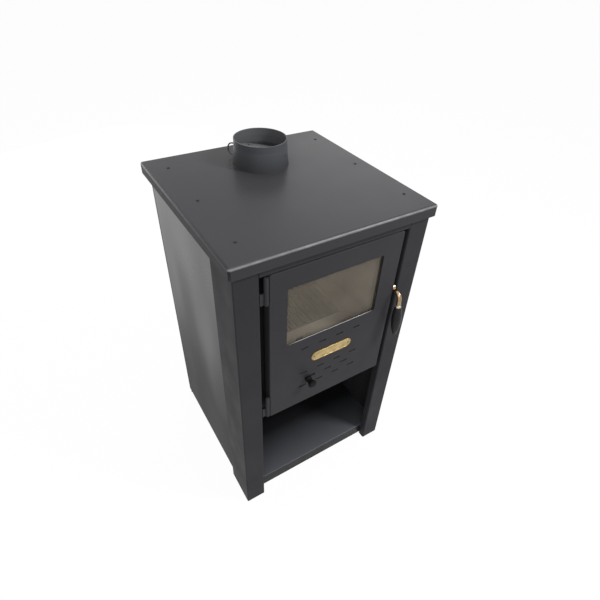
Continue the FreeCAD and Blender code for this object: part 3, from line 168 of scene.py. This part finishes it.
shelf_paint, tree, shader, where = bare_finish("shelf_paint", 0.0)
shader.inputs["Specular IOR Level"].default_value = 0.1
along = axes(tree, where)
# Painted light: the shelf top is painted paler near the open front; painted shade makes the rest darker than
# the casing.
on_top = between(tree, along["Z"], 0.0, 1.0, lit_foot, lit_full)
near_front = between(tree, along["Y"], 1.0, 0.0, shelf_front, shelf_front + lit_reach)
painted_light = worked(tree, "MULTIPLY", on_top, near_front)
lit_and_shaded = shades(tree, painted_light, [(0.0, (0.0085, 0.0088, 0.0098)), (1.0, (0.069, 0.0725, 0.081))])
tree.links.new(lit_and_shaded, shader.inputs["Base Color"])
tree.links.new(between(tree, clouds(tree, where, 22, 6), 0.32, 0.46), shader.inputs["Roughness"])
relief(tree, shader, clouds(tree, where, 900, 3), 0.00006, 0.5)
dress(shelf_paint, "wood_shelf")

# Side panels: flat steel sheets slid in behind the front posts, the one bright finish on the casing.
# Their enamel is glossy, with faint upright streaks from wiping, and duller low down where feet scuff it.
# The cut edge at the rear has no gloss at all.
panel_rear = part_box("side_panel_left")[1][1]
edge_start, edge_full = panel_rear - 0.004, panel_rear - 0.003
enamel, tree, shader, where = bare_finish("panel_enamel", 0.0)
shader.inputs["Specular IOR Level"].default_value = 0.2
shader.inputs["Specular Tint"].default_value = (0.95, 0.94, 1.0, 1)
wiped = clouds(tree, where, 12, 6, (1, 1, 0.12))
streaks = shades(tree, wiped, [(0.3, (0.0085, 0.0085, 0.0097)), (0.72, (0.021, 0.021, 0.0233))])
tree.links.new(streaks, shader.inputs["Base Color"])
along = axes(tree, where)
scuff = worked(tree, "MULTIPLY_ADD", clouds(tree, where, 6, 1, (1, 1, 0.5)), 0.55, along["Z"])
scuffed = between(tree, scuff, 0.62, 0.14, 0.42, 1.02)
cut_edge = between(tree, along["Y"], 0.0, 1.0, edge_start, edge_full)
tree.links.new(worked(tree, "MAXIMUM", scuffed, cut_edge), shader.inputs["Roughness"])
relief(tree, shader, clouds(tree, where, 4, 1), 0.0012, 0.12)
dress(enamel, "side_panel_left", "side_panel_right")

# Firebox: welded plates and the grate's shelf, dulled by heat and clouded with soot.
# The cast grate and the baffle lie loose on their ledges; the front frame is painted a deeper black than the
# casing, as painted shade in the gap round the door.


def clouded_finish(name, metal, shade, dullness, grain=None, gloss=0.5):
    """A finish whose colour and roughness drift in clouds, over a fine relief where it has a grain.

    shade is (lumps to the metre, detail, stops of colour), dullness is (lumps, detail, low, high), and
    grain is (lumps, detail, depth in metres, strength).
    """
    mat, tree, shader, where = bare_finish(name, metal)
    shader.inputs["Specular IOR Level"].default_value = gloss
    lumps, detail, stops = shade
    colour = shades(tree, clouds(tree, where, lumps, detail), stops)
    tree.links.new(colour, shader.inputs["Base Color"])
    lumps, detail, smooth, rough = dullness
    dulled = between(tree, clouds(tree, where, lumps, detail), smooth, rough)
    tree.links.new(dulled, shader.inputs["Roughness"])
    if grain:
        lumps, detail, depth, strength = grain
        relief(tree, shader, clouds(tree, where, lumps, detail), depth, strength)
    return mat


soot = [(0.25, (0.030, 0.027, 0.024)), (0.55, (0.052, 0.047, 0.042)), (0.8, (0.085, 0.075, 0.064))]
soot_black = clouded_finish(
    "soot_black", 0.0, (14, 8, soot), (40, 6, 0.62, 0.9), (500, 5, 0.00015, 0.6), gloss=0.25
)
dress(
    soot_black, "firebox_floor", "firebox_left_plate", "firebox_right_plate", "firebox_back_plate",
    "grate_shelf", "baffle", "ash_pan_runners",
)
# Painted shade: the front frame, seen through the gap round the door, is painted darker than the casing.
frame_shade_paint = sprayed_paint("frame_shade_paint", (0.009, 0.009, 0.0095), (0.014, 0.0138, 0.0142), 0.5, 0.65, 0.05)
dress(frame_shade_paint, "firebox_front_frame")
casting = [(0.3, (0.034, 0.032, 0.029)), (0.7, (0.062, 0.057, 0.051))]
cast_skin = clouded_finish("cast_skin", 0.1, (60, 7, casting), (120, 4, 0.55, 0.8), (700, 4, 0.0004, 0.7))
dress(cast_skin, "grate")

# Firebricks: pressed fireclay slabs that stand against the plates and lie round the grate.
# They have a coarse grain and a warm grey-brown colour that the fire has clouded.
fireclay, tree, shader, where = bare_finish("fireclay", 0.0)
shader.inputs["Specular IOR Level"].default_value = 0.2
shader.inputs["Roughness"].default_value = 0.93
clay = [(0.25, (0.155, 0.137, 0.112)), (0.5, (0.235, 0.21, 0.174)), (0.78, (0.325, 0.295, 0.25))]
tree.links.new(shades(tree, clouds(tree, where, 11, 9), clay), shader.inputs["Base Color"])
relief(tree, shader, clouds(tree, where, 420, 8), 0.0007, 0.8)
dress(fireclay, "firebricks_left", "firebricks_right", "firebricks_back", "firebricks_floor")

# Ash pan: bent from thin zinc-coated sheet, with a wire pull at its front, lying on two runners.
# The zinc has set in spangles, each a little paler towards its rim.
zinc, tree, shader, where = bare_finish("zinc_sheet", 0.9)
spangle = tree.nodes.new("ShaderNodeTexVoronoi")
spangle.inputs["Scale"].default_value = 160
tree.links.new(where, spangle.inputs["Vector"])
zinc_shade = shades(tree, spangle.outputs["Distance"], [(0.0, (0.30, 0.30, 0.31)), (0.8, (0.46, 0.46, 0.47))])
tree.links.new(zinc_shade, shader.inputs["Base Color"])
tree.links.new(between(tree, clouds(tree, where, 90, 5), 0.3, 0.5), shader.inputs["Roughness"])
relief(tree, shader, clouds(tree, where, 800, 3), 0.00005, 0.5)
dress(zinc, "ash_pan", "ash_pan_pull")

# Hob: one thick plate with its edges folded down, held to the rails by six black screws.
# Its satin grey-black paint is paler than the casing's, and duller on the lips below the fold, which are also
# painted a little darker as painted shade.
# Along the front fold a pale painted highlight is laid into the paint's colour, in clouds.
hob_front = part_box("hob_plate")[0][1]
hob_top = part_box("hob_plate")[1][2]
hob_fold = 0.005
lip_dullness = 0.28


def covered(tree, amount, under, over):
    """A shade that gives way to one plain colour over it as the amount goes from 0 to 1."""
    mix = tree.nodes.new("ShaderNodeMix")
    mix.data_type = "RGBA"
    mix.inputs["B"].default_value = (*over, 1)
    tree.links.new(amount, mix.inputs["Factor"])
    tree.links.new(under, mix.inputs["A"])
    return mix.outputs["Result"]


hob_paint, tree, shader, where = bare_finish("hob_paint", 0.0)
shader.inputs["Specular IOR Level"].default_value = 0.11
shader.inputs["Specular Tint"].default_value = (0.96, 0.95, 1.0, 1)
along = axes(tree, where)
below_top = between(tree, along["Z"], 1.0, 0.0, hob_top - 0.4 * hob_fold, hob_top - 0.05 * hob_fold)
above_lip = between(tree, along["Z"], 0.0, 1.0, hob_top - hob_fold, hob_top - 0.6 * hob_fold)
at_front = between(tree, along["Y"], 1.0, 0.0, hob_front + 0.9 * hob_fold, hob_front + hob_fold)
# Painted highlight: the front fold is painted pale instead of catching light.
fold_highlight = between(tree, clouds(tree, where, 45, 6), 0.55, 1.0)
for limit in (below_top, above_lip, at_front):
    fold_highlight = worked(tree, "MULTIPLY", fold_highlight, limit)
on_lip = between(tree, along["Z"], 1.0, 0.0, hob_top - 1.2 * hob_fold, hob_top - hob_fold)
hob_grey = [(0.25, (0.0275, 0.027, 0.0295)), (0.75, (0.031, 0.0305, 0.033))]
hob_shade = shades(tree, clouds(tree, where, 5, 7), hob_grey)
hob_shade = covered(tree, fold_highlight, hob_shade, (0.16, 0.157, 0.162))
# Painted shade: the lips below the fold are painted a little darker than the top.
hob_shade = covered(tree, on_lip, hob_shade, (0.0255, 0.025, 0.0272))
tree.links.new(hob_shade, shader.inputs["Base Color"])
satin = between(tree, clouds(tree, where, 16, 3), 0.315, 0.35)
tree.links.new(worked(tree, "MULTIPLY_ADD", on_lip, lip_dullness, satin), shader.inputs["Roughness"])
relief(tree, shader, clouds(tree, where, 1100, 3), 0.00007, 0.55)
dress(hob_paint, "hob_plate")
screw_black = sprayed_paint("screw_black", (0.012, 0.012, 0.0125), (0.019, 0.019, 0.02), 0.3, 0.45)
dress(screw_black, "hob_screws")

# Flue collar: a tapered ring of sheet steel with a straight spigot, welded to the hob round its foot.
# Its grey paint is darkened towards the foot as painted shade, and inside it is pale with ash and painted
# light.
# The weld is a thin rippled bead, painted over in a darker grey as painted shade at the collar's foot.
collar_low, collar_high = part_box("flue_collar")
flue_x, flue_y = (collar_low[0] + collar_high[0]) / 2, (collar_low[1] + collar_high[1]) / 2
collar_foot = (collar_high[0] - collar_low[0]) / 2
collar_bore = 0.0552
ash_light_edge = 0.0004
weld_rise, weld_wide, weld_high = 0.0002, 0.0010, 0.0009
weld_steps, weld_sides = 480, 14
weld_ripples = 96

collar_skin, tree, shader, where = paint_coat("collar_skin", 0.42, 0.52)
from_axis = tree.nodes.new("ShaderNodeMapping")
from_axis.inputs["Location"].default_value = (-flue_x, -flue_y, 0)
from_axis.inputs["Scale"].default_value = (1, 1, 0)
tree.links.new(where, from_axis.inputs["Vector"])
radius = tree.nodes.new("ShaderNodeVectorMath")
radius.operation = "LENGTH"
tree.links.new(from_axis.outputs["Vector"], radius.inputs[0])
# Ash and painted light: the inside of the collar is painted paler, lifting its shade.
ash_and_light = between(tree, radius.outputs["Value"], 1.0, 0.0, collar_bore, collar_bore + ash_light_edge)
# Painted shade: the collar is painted darker towards its foot on the hob.
rise = between(tree, axes(tree, where)["Z"], 0.0, 0.8, collar_low[2], collar_high[2])
foot_shaded = worked(tree, "MULTIPLY_ADD", clouds(tree, where, 5, 7), 0.4, rise)
collar_shade = shades(tree, foot_shaded, [(0.2, (0.030, 0.0305, 0.033)), (0.8, (0.054, 0.056, 0.061))])
tree.links.new(covered(tree, ash_and_light, collar_shade, (0.070, 0.0715, 0.076)), shader.inputs["Base Color"])
dress(collar_skin, "flue_collar")


def turns(steps):
    """Even angles once round a circle."""
    return np.linspace(0, 2 * np.pi, steps, endpoint=False)


def tube(path, across, up, wide, high, sides):
    """Ellipses carried along a path: path + across * wide * cos(t) + up * high * sin(t)."""
    turn = turns(sides)
    sideways = np.broadcast_to(across, path.shape)[:, None, :] * (wide * np.cos(turn))[..., None]
    upwards = np.broadcast_to(up, path.shape)[:, None, :] * (high * np.sin(turn))[..., None]
    return path[:, None, :] + sideways + upwards


def skin(name, grid, closed, mat):
    """A mesh from a grid of points: rows along a path, columns round it, and caps where the path is open."""
    rows, columns = grid.shape[:2]
    count = rows * columns
    index = np.arange(count).reshape(rows, columns)
    if closed:
        index = np.vstack([index, index[:1]])
    index = np.hstack([index, index[:, :1]])
    faces = np.stack([index[:-1, :-1], index[:-1, 1:], index[1:, 1:], index[1:, :-1]], axis=-1).reshape(-1, 4)
    ends = [] if closed else [list(range(columns)), list(range(count - columns, count))]
    mesh = bpy.data.meshes.new(name)
    mesh.from_pydata(grid.reshape(-1, 3).tolist(), [], faces.tolist() + ends)
    shell = bmesh.new()
    shell.from_mesh(mesh)
    bmesh.ops.recalc_face_normals(shell, faces=shell.faces)
    shell.to_mesh(mesh)
    shell.free()
    mesh.polygons.foreach_set("use_smooth", np.ones(len(mesh.polygons), bool))
    mesh.materials.append(mat)
    piece = bpy.data.objects.new(name, mesh)
    bpy.context.scene.collection.objects.link(piece)
    return piece


# Painted shade: the weld's paint is darker than the collar's, where the collar meets the hob.
weld_shade_paint = sprayed_paint("collar_shade_paint", (0.024, 0.0245, 0.0265), (0.030, 0.0305, 0.033), 0.45, 0.55)
way = turns(weld_steps)
outward = np.stack([np.cos(way), np.sin(way), np.zeros_like(way)], axis=1)
ripple = (1 + 0.10 * np.cos(way * weld_ripples) + 0.06 * np.cos(way * 7 + 1))[:, None]
weld_path = np.array([flue_x, flue_y, collar_low[2] + weld_rise]) + outward * collar_foot
weld_ring = tube(weld_path, outward, (0.0, 0.0, 1.0), weld_wide * ripple, weld_high * ripple, weld_sides)
collar_weld = skin("collar_weld", weld_ring, True, weld_shade_paint)
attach(collar_weld, "stove_body")

# Flue damper: a disc of bare sheet, greyed by heat, screwed to a wire shaft through the collar.
# The shaft's outer end carries a bent wire loop to turn it by, as dull as the shaft and its screws.
wire_shade = [(0.3, (0.05, 0.05, 0.05)), (0.7, (0.09, 0.09, 0.09))]
dull_wire = clouded_finish(
    "dull_wire", 0.4, (90, 5, wire_shade), (200, 4, 0.35, 0.55), (1200, 3, 0.00004, 0.5)
)
dress(dull_wire, "damper_shaft", "damper_loop", "damper_screws")
disc_shade = [(0.3, (0.045, 0.046, 0.048)), (0.7, (0.075, 0.076, 0.078))]
disc_skin = clouded_finish("disc_skin", 0.2, (30, 7, disc_shade), (70, 5, 0.5, 0.7), (600, 4, 0.0001, 0.5))
dress(disc_skin, "damper_disc")

# Door: a folded steel pan in the casing's black, a shade more satin, that shuts against the front frame.
# The keeper on the right post, which takes the lever's hook, has the same paint.
door_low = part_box("door_panel")[0]
door_paint = sprayed_paint("door_paint", (0.022, 0.0215, 0.0235), (0.026, 0.0255, 0.0275), 0.45, 0.55)
dress(door_paint, "door_panel", "latch_keeper")

# Hinges: two barrels on zinc pins, one half on the post and one on the door, with a washer between.
# Each half is welded on by a short leaf, with a bead down the joint, then painted with the door.
hinge_middles = {"upper": 0.671, "lower": 0.357}
bead_near, bead_far = 0.004, 0.026
bead_size = 0.0011
bead_steps, bead_sides = 60, 12
bead_ripple, bead_ripple_depth = 58, 0.14
post_bead_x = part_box("hinge_post_halves")[0][0] + 0.0008
post_bead_y = door_low[1] + 0.0036
door_bead_x = door_low[0] - 0.0006
door_bead_y = door_low[1] + 0.0050
dress(door_paint, "hinge_post_halves", "hinge_door_halves", "hinge_washers")
dress(zinc, "hinge_pins")


def upright_bead(name, x, y, low, high, body):
    """A weld bead: a rippled circle, smaller towards both ends, carried straight up from low to high."""
    rise = np.linspace(0, 1, bead_steps)[:, None]
    taper = np.clip(np.sin(np.pi * (0.06 + 0.88 * rise)) * 3, 0, 1)
    size = bead_size * taper * (1 + bead_ripple_depth * np.cos(rise * bead_ripple))
    path = np.array([x, y, low]) + rise * np.array([0, 0, high - low])
    rod = tube(path, (1.0, 0.0, 0.0), (0.0, 1.0, 0.0), size, size, bead_sides)
    bead = skin(name, rod, False, door_paint)
    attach(bead, body)


for name, middle in hinge_middles.items():
    upright_bead(
        f"post_bead_{name}", post_bead_x, post_bead_y, middle - bead_far, middle - bead_near, "stove_body"
    )
    upright_bead(f"door_bead_{name}", door_bead_x, door_bead_y, middle + bead_near, middle + bead_far, "door")

# Rope seal: a knitted glass-fibre rope pressed into the steel channel behind the door's edge.
# Two sets of strands cross round it, each crossing standing a little proud.
rope_low, rope_high = (np.array(corner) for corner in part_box("door_rope_seal"))
rope_radius = (rope_high[1] - rope_low[1]) / 2
rope_bend = 0.018
rope_steps, rope_sides = 1040, 28
rope_lays = 100
rope_core = 0.84
dress(soot_black, "door_seal_channel")

rope_yarn, tree, shader, where = bare_finish("rope_yarn", 0.0)
shader.inputs["Roughness"].default_value = 0.95
shader.inputs["Sheen Weight"].default_value = 0.25
yarn = [(0.3, (0.10, 0.095, 0.088)), (0.7, (0.23, 0.22, 0.205))]
tree.links.new(shades(tree, clouds(tree, where, 260, 6), yarn), shader.inputs["Base Color"])
relief(tree, shader, clouds(tree, where, 1800, 4), 0.0003, 0.7)


def upright_ring(centre, half_x, half_z, bend, steps):
    """An upright rectangle with round corners: a smaller rectangle, pushed out everywhere by the bend.

    Returns its points, the way out at each, and how far round each lies, with 2 pi for the whole way.
    """
    inner_x, inner_z = half_x - bend, half_z - bend
    corner = np.pi / 2 * bend
    runs = [inner_x, corner, 2 * inner_z, corner, 2 * inner_x, corner, 2 * inner_z, corner, inner_x]
    ends = np.concatenate([[0], np.cumsum(runs)])
    gone = np.linspace(0, ends[-1], steps, endpoint=False)
    core_x = np.interp(gone, ends, inner_x * np.array([0, 1, 1, 1, 1, -1, -1, -1, -1, 0]))
    core_z = np.interp(gone, ends, inner_z * np.array([-1, -1, -1, 1, 1, 1, 1, -1, -1, -1]))
    angle = np.interp(gone, ends, np.radians([-90, -90, 0, 0, 90, 90, 180, 180, 270, 270]))
    out = np.stack([np.cos(angle), np.zeros(steps), np.sin(angle)], axis=1)
    core = np.stack([core_x, np.zeros(steps), core_z], axis=1)
    return np.array(centre) + core + bend * out, out, gone[:, None] / gone[-1] * 2 * np.pi


backward = (0.0, 1.0, 0.0)
rope_half = (rope_high - rope_low) / 2 - rope_radius
rope_path, rope_out, round_rope = upright_ring(
    (rope_low + rope_high) / 2, rope_half[0], rope_half[2], rope_bend, rope_steps
)
turn = turns(rope_sides)
lay = round_rope * rope_lays
strand = np.maximum(np.abs(np.cos(2 * turn + lay)), np.abs(np.cos(2 * turn - lay)))
rope_size = rope_radius * (rope_core + (1 - rope_core) * strand ** 1.5)
rope_ring = tube(rope_path, rope_out, backward, rope_size, rope_size, rope_sides)
rope_seal = skin("rope_braid", rope_ring, True, rope_yarn)
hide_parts("door_rope_seal")
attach(rope_seal, "door")

# Window: a plate of heat-proof glass laid on a flat woven tape and held from behind by four zinc clips.
# A thin warm film of soot lies over the clear glass and gathers in clouds.
# Along the foot of the opening the door's cut edge carries a pale painted highlight.
glass_low, glass_high = (np.array(corner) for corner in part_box("window_glass"))
glass_lap = 0.010
lip_clear, lip_radius, lip_taper = 0.002, 0.0008, 0.02
lip_steps, lip_sides = 90, 10
tape_low, tape_high = (np.array(corner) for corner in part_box("glass_gasket"))
tape_wide = 0.0070
tape_bend = tape_wide / 2 + 0.0004
tape_steps, tape_sides = 900, 20
tape_wefts, weft_depth = 180, 0.08
dress(zinc, "glass_clips", "glass_clip_studs")

film = [(0.3, (0.13, 0.108, 0.080)), (0.7, (0.20, 0.172, 0.132))]
glass = clouded_finish("stove_glass", 0.0, (9, 5, film), (14, 4, 0.05, 0.14))
shader = glass.node_tree.nodes["Principled BSDF"]
shader.inputs["IOR"].default_value = 1.47
shader.inputs["Alpha"].default_value = 0.22
dress(glass, "window_glass")

lip_half = (glass_high[0] - glass_low[0]) / 2 - glass_lap - lip_clear
lip_along = np.linspace(-lip_half, lip_half, lip_steps)[:, None]
glass_middle = (glass_low[0] + glass_high[0]) / 2
lip_middle = np.array([glass_middle, door_low[1] + lip_radius, glass_low[2] + glass_lap])
lip_path = lip_middle + lip_along * np.array([1, 0, 0])
lip_size = lip_radius * np.clip((lip_half - np.abs(lip_along)) / lip_taper, 0.15, 1)
# Painted highlight: the bead on the cut edge is painted pale grey, standing in for light caught along it.
lip_highlight_paint = sprayed_paint("lip_highlight_paint", (0.16, 0.155, 0.15), (0.26, 0.25, 0.24), 0.22, 0.34, 0.5)
lip_rod = tube(lip_path, backward, (0.0, 0.0, 1.0), lip_size, lip_size, lip_sides)
window_lip = skin("window_lip", lip_rod, False, lip_highlight_paint)
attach(window_lip, "door")

tape_half = (tape_high - tape_low - tape_wide) / 2
tape_path, tape_out, round_tape = upright_ring(
    (tape_low + tape_high) / 2, tape_half[0], tape_half[2], tape_bend, tape_steps
)
turn = turns(tape_sides)
squared = 1 / (np.abs(np.cos(turn)) ** 4 + np.abs(np.sin(turn)) ** 4) ** 0.25
tape_size = squared * (1 - weft_depth * np.cos(round_tape * tape_wefts) ** 2) / 2
tape_thick = tape_high[1] - tape_low[1]
tape_band = tube(tape_path, tape_out, backward, tape_size * tape_wide, tape_size * tape_thick, tape_sides)
glass_tape = skin("glass_tape", tape_band, True, rope_yarn)
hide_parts("glass_gasket")
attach(glass_tape, "door")

# Brass plate: a stamped strip with round ends and a raised rim, held by two domed rivets.
# The brass is bare and a little tarnished, its field lightly planished, its rivets browner.
plate_low, plate_high = (np.array(corner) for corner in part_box("brass_plate"))
rim_inset, rim_wide, rim_high = 0.0014, 0.0008, 0.0006
rim_flat = 0.0002
rim_steps, rim_sides = 320, 12

field = [(0.25, (0.29, 0.205, 0.085)), (0.55, (0.48, 0.36, 0.165)), (0.8, (0.60, 0.475, 0.25))]
brass = clouded_finish("plate_brass", 1.0, (70, 6, field), (130, 5, 0.24, 0.44), (330, 2, 0.0004, 0.55))
dress(brass, "brass_plate")
rivet_shade = [(0.3, (0.10, 0.066, 0.030)), (0.7, (0.22, 0.15, 0.07))]
rivet_brass = clouded_finish("rivet_brass", 1.0, (400, 4, rivet_shade), (600, 3, 0.3, 0.5))
dress(rivet_brass, "brass_plate_rivets")
rim_shade = [(0.3, (0.27, 0.19, 0.078)), (0.7, (0.43, 0.32, 0.145))]
rim_brass = clouded_finish("rim_brass", 1.0, (150, 5, rim_shade), (200, 4, 0.38, 0.52))
rim_half = (plate_high - plate_low) / 2 - rim_inset
rim_middle = (plate_low + plate_high) / 2
rim_middle[1] = plate_low[1]
rim_bend = rim_half[2] - rim_flat
rim_path, rim_out = upright_ring(rim_middle, rim_half[0], rim_half[2], rim_bend, rim_steps)[:2]
rim_ring = tube(rim_path, rim_out, backward, rim_wide, rim_high, rim_sides)
plate_rim = skin("brass_plate_rim", rim_ring, True, rim_brass)
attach(plate_rim, "door")

# Handle: a flat brass-plated lever on a zinc pivot, a bent round neck and a pale ferrule, then a turned grip.
# The neck is polished bright; the grip is moulded black resin.
neck_shade = [(0.3, (0.27, 0.18, 0.10)), (0.7, (0.45, 0.33, 0.205))]
polish = clouded_finish("neck_brass", 1.0, (55, 5, neck_shade), (120, 4, 0.14, 0.3), (900, 2, 0.00004, 0.4))
dress(polish, "handle_neck", "handle_lever")
dress(zinc, "handle_pivot", "handle_washer")
ferrule_shade = [(0.3, (0.52, 0.49, 0.42)), (0.7, (0.74, 0.71, 0.64))]
pale_ferrule = clouded_finish("pale_ferrule", 0.9, (80, 4, ferrule_shade), (160, 4, 0.2, 0.36))
dress(pale_ferrule, "handle_ferrule")
grip_shade = [(0.3, (0.007, 0.007, 0.0076)), (0.7, (0.0115, 0.0113, 0.0118))]
resin = clouded_finish(
    "black_resin", 0.0, (45, 5, grip_shade), (70, 5, 0.3, 0.5), (1500, 3, 0.00005, 0.5), gloss=0.16
)
dress(resin, "handle_grip")

# Air slider: a plate behind the lower slots, painted deep black as painted shade seen through them, run in
# two sooty guides on the door's back.
# Its zinc stem comes out through a slot and ends in a small knob of black resin.
# Painted shade: the slider is painted near-black so the slots in front of it read as dark.
slider_shade_paint = sprayed_paint("slider_shade_paint", (0.004, 0.004, 0.004), (0.007, 0.007, 0.007), 0.55, 0.7, 0.04)
dress(slider_shade_paint, "air_slider")
dress(soot_black, "slider_guide_upper", "slider_guide_lower")
dress(zinc, "air_knob_stem")
knob_resin = sprayed_paint(
    "knob_resin", (0.0035, 0.0035, 0.0038), (0.006, 0.006, 0.0063), 0.4, 0.55, 0.06, 1500, 0.00005
)
dress(knob_resin, "air_knob")

# Stage: a wide pale floor under five soft lights, and a camera where the photographer stood.
# The floor and the room are white to the camera and in reflections, and the floor keeps a faint shadow.
floor_half = 40
floor_white = 0.96
room_dim, room_white = 0.6, 1.0


def shown_white(tree):
    """1 for a ray from the camera, off gloss or through glass, and 0 for one that carries light."""
    ray = tree.nodes.new("ShaderNodeLightPath").outputs
    through = worked(tree, "MAXIMUM", ray["Is Glossy Ray"], ray["Is Transmission Ray"])
    return worked(tree, "MAXIMUM", ray["Is Camera Ray"], through)


floor_corners = [(x * floor_half, y * floor_half, 0) for x, y in ((-1, -1), (1, -1), (1, 1), (-1, 1))]
floor_mesh = bpy.data.meshes.new("floor")
floor_mesh.from_pydata(floor_corners, [], [(0, 1, 2, 3)])
floor = bpy.data.objects.new("floor", floor_mesh)
bpy.context.scene.collection.objects.link(floor)
pale_floor = bpy.data.materials.new("pale_floor")
pale_floor.use_nodes = True
tree = pale_floor.node_tree
tree.nodes.clear()
chalk = tree.nodes.new("ShaderNodeBsdfDiffuse")
chalk.inputs["Color"].default_value = (0.8, 0.8, 0.8, 1)
white = tree.nodes.new("ShaderNodeEmission")
white.inputs["Strength"].default_value = 1.0
blend = tree.nodes.new("ShaderNodeMixShader")
surface = tree.nodes.new("ShaderNodeOutputMaterial")
tree.links.new(worked(tree, "MULTIPLY", shown_white(tree), floor_white), blend.inputs["Fac"])
tree.links.new(chalk.outputs["BSDF"], blend.inputs[1])
tree.links.new(white.outputs["Emission"], blend.inputs[2])
tree.links.new(blend.outputs["Shader"], surface.inputs["Surface"])
floor_mesh.materials.append(pale_floor)

room = bpy.data.worlds.new("room")
room.use_nodes = True
bpy.context.scene.world = room
tree = room.node_tree
sky = tree.nodes["Background"]
sky.inputs["Color"].default_value = (1, 1, 1, 1)
tree.links.new(between(tree, shown_white(tree), room_dim, room_white, 0.0, 1.0), sky.inputs["Strength"])


def softbox(name, place, aim, size, watts):
    """A square soft light at a place, turned to a point."""
    lamp = bpy.data.lights.new(name, "AREA")
    lamp.shape = "SQUARE"
    lamp.size = size
    lamp.energy = watts
    light = bpy.data.objects.new(name, lamp)
    light.location = place
    light.rotation_euler = (Vector(aim) - Vector(place)).to_track_quat("-Z", "Y").to_euler()
    bpy.context.scene.collection.objects.link(light)


softbox("overhead", (0.0, 0.4, 2.9), (0, 0, 0.6), 1.8, 29)
softbox("back_right", (1.8, 1.9, 1.9), (0.1, 0, 0.7), 1.2, 5)
softbox("back_low", (-0.6, 2.4, 0.55), (0, 0.2, 0.4), 1.6, 26)
softbox("front_left", (-1.7, -2.1, 2.1), (0, -0.1, 0.4), 1.4, 28)
softbox("front_right", (1.0, -1.15, 1.95), (0, -0.2, 0.7), 0.45, 40)

photo_pixels = 600
focal_pixels = 447.68
camera_place = (-0.420911, -0.705899, 1.142943)
camera_pitch, camera_roll, camera_heading = np.radians([49.7438, -2.2333, -31.7951])
lens = bpy.data.cameras.new("photo_lens")
lens.sensor_width = 36
lens.lens = lens.sensor_width * focal_pixels / photo_pixels
lens.clip_start = 0.01
camera = bpy.data.objects.new("photo_camera", lens)
camera_turn = Euler((camera_pitch, camera_roll, camera_heading))
camera.matrix_world = Matrix.LocRotScale(Vector(camera_place), camera_turn, None)
bpy.context.scene.collection.objects.link(camera)
bpy.context.scene.camera = camera
bpy.context.scene.view_settings.view_transform = "Standard"
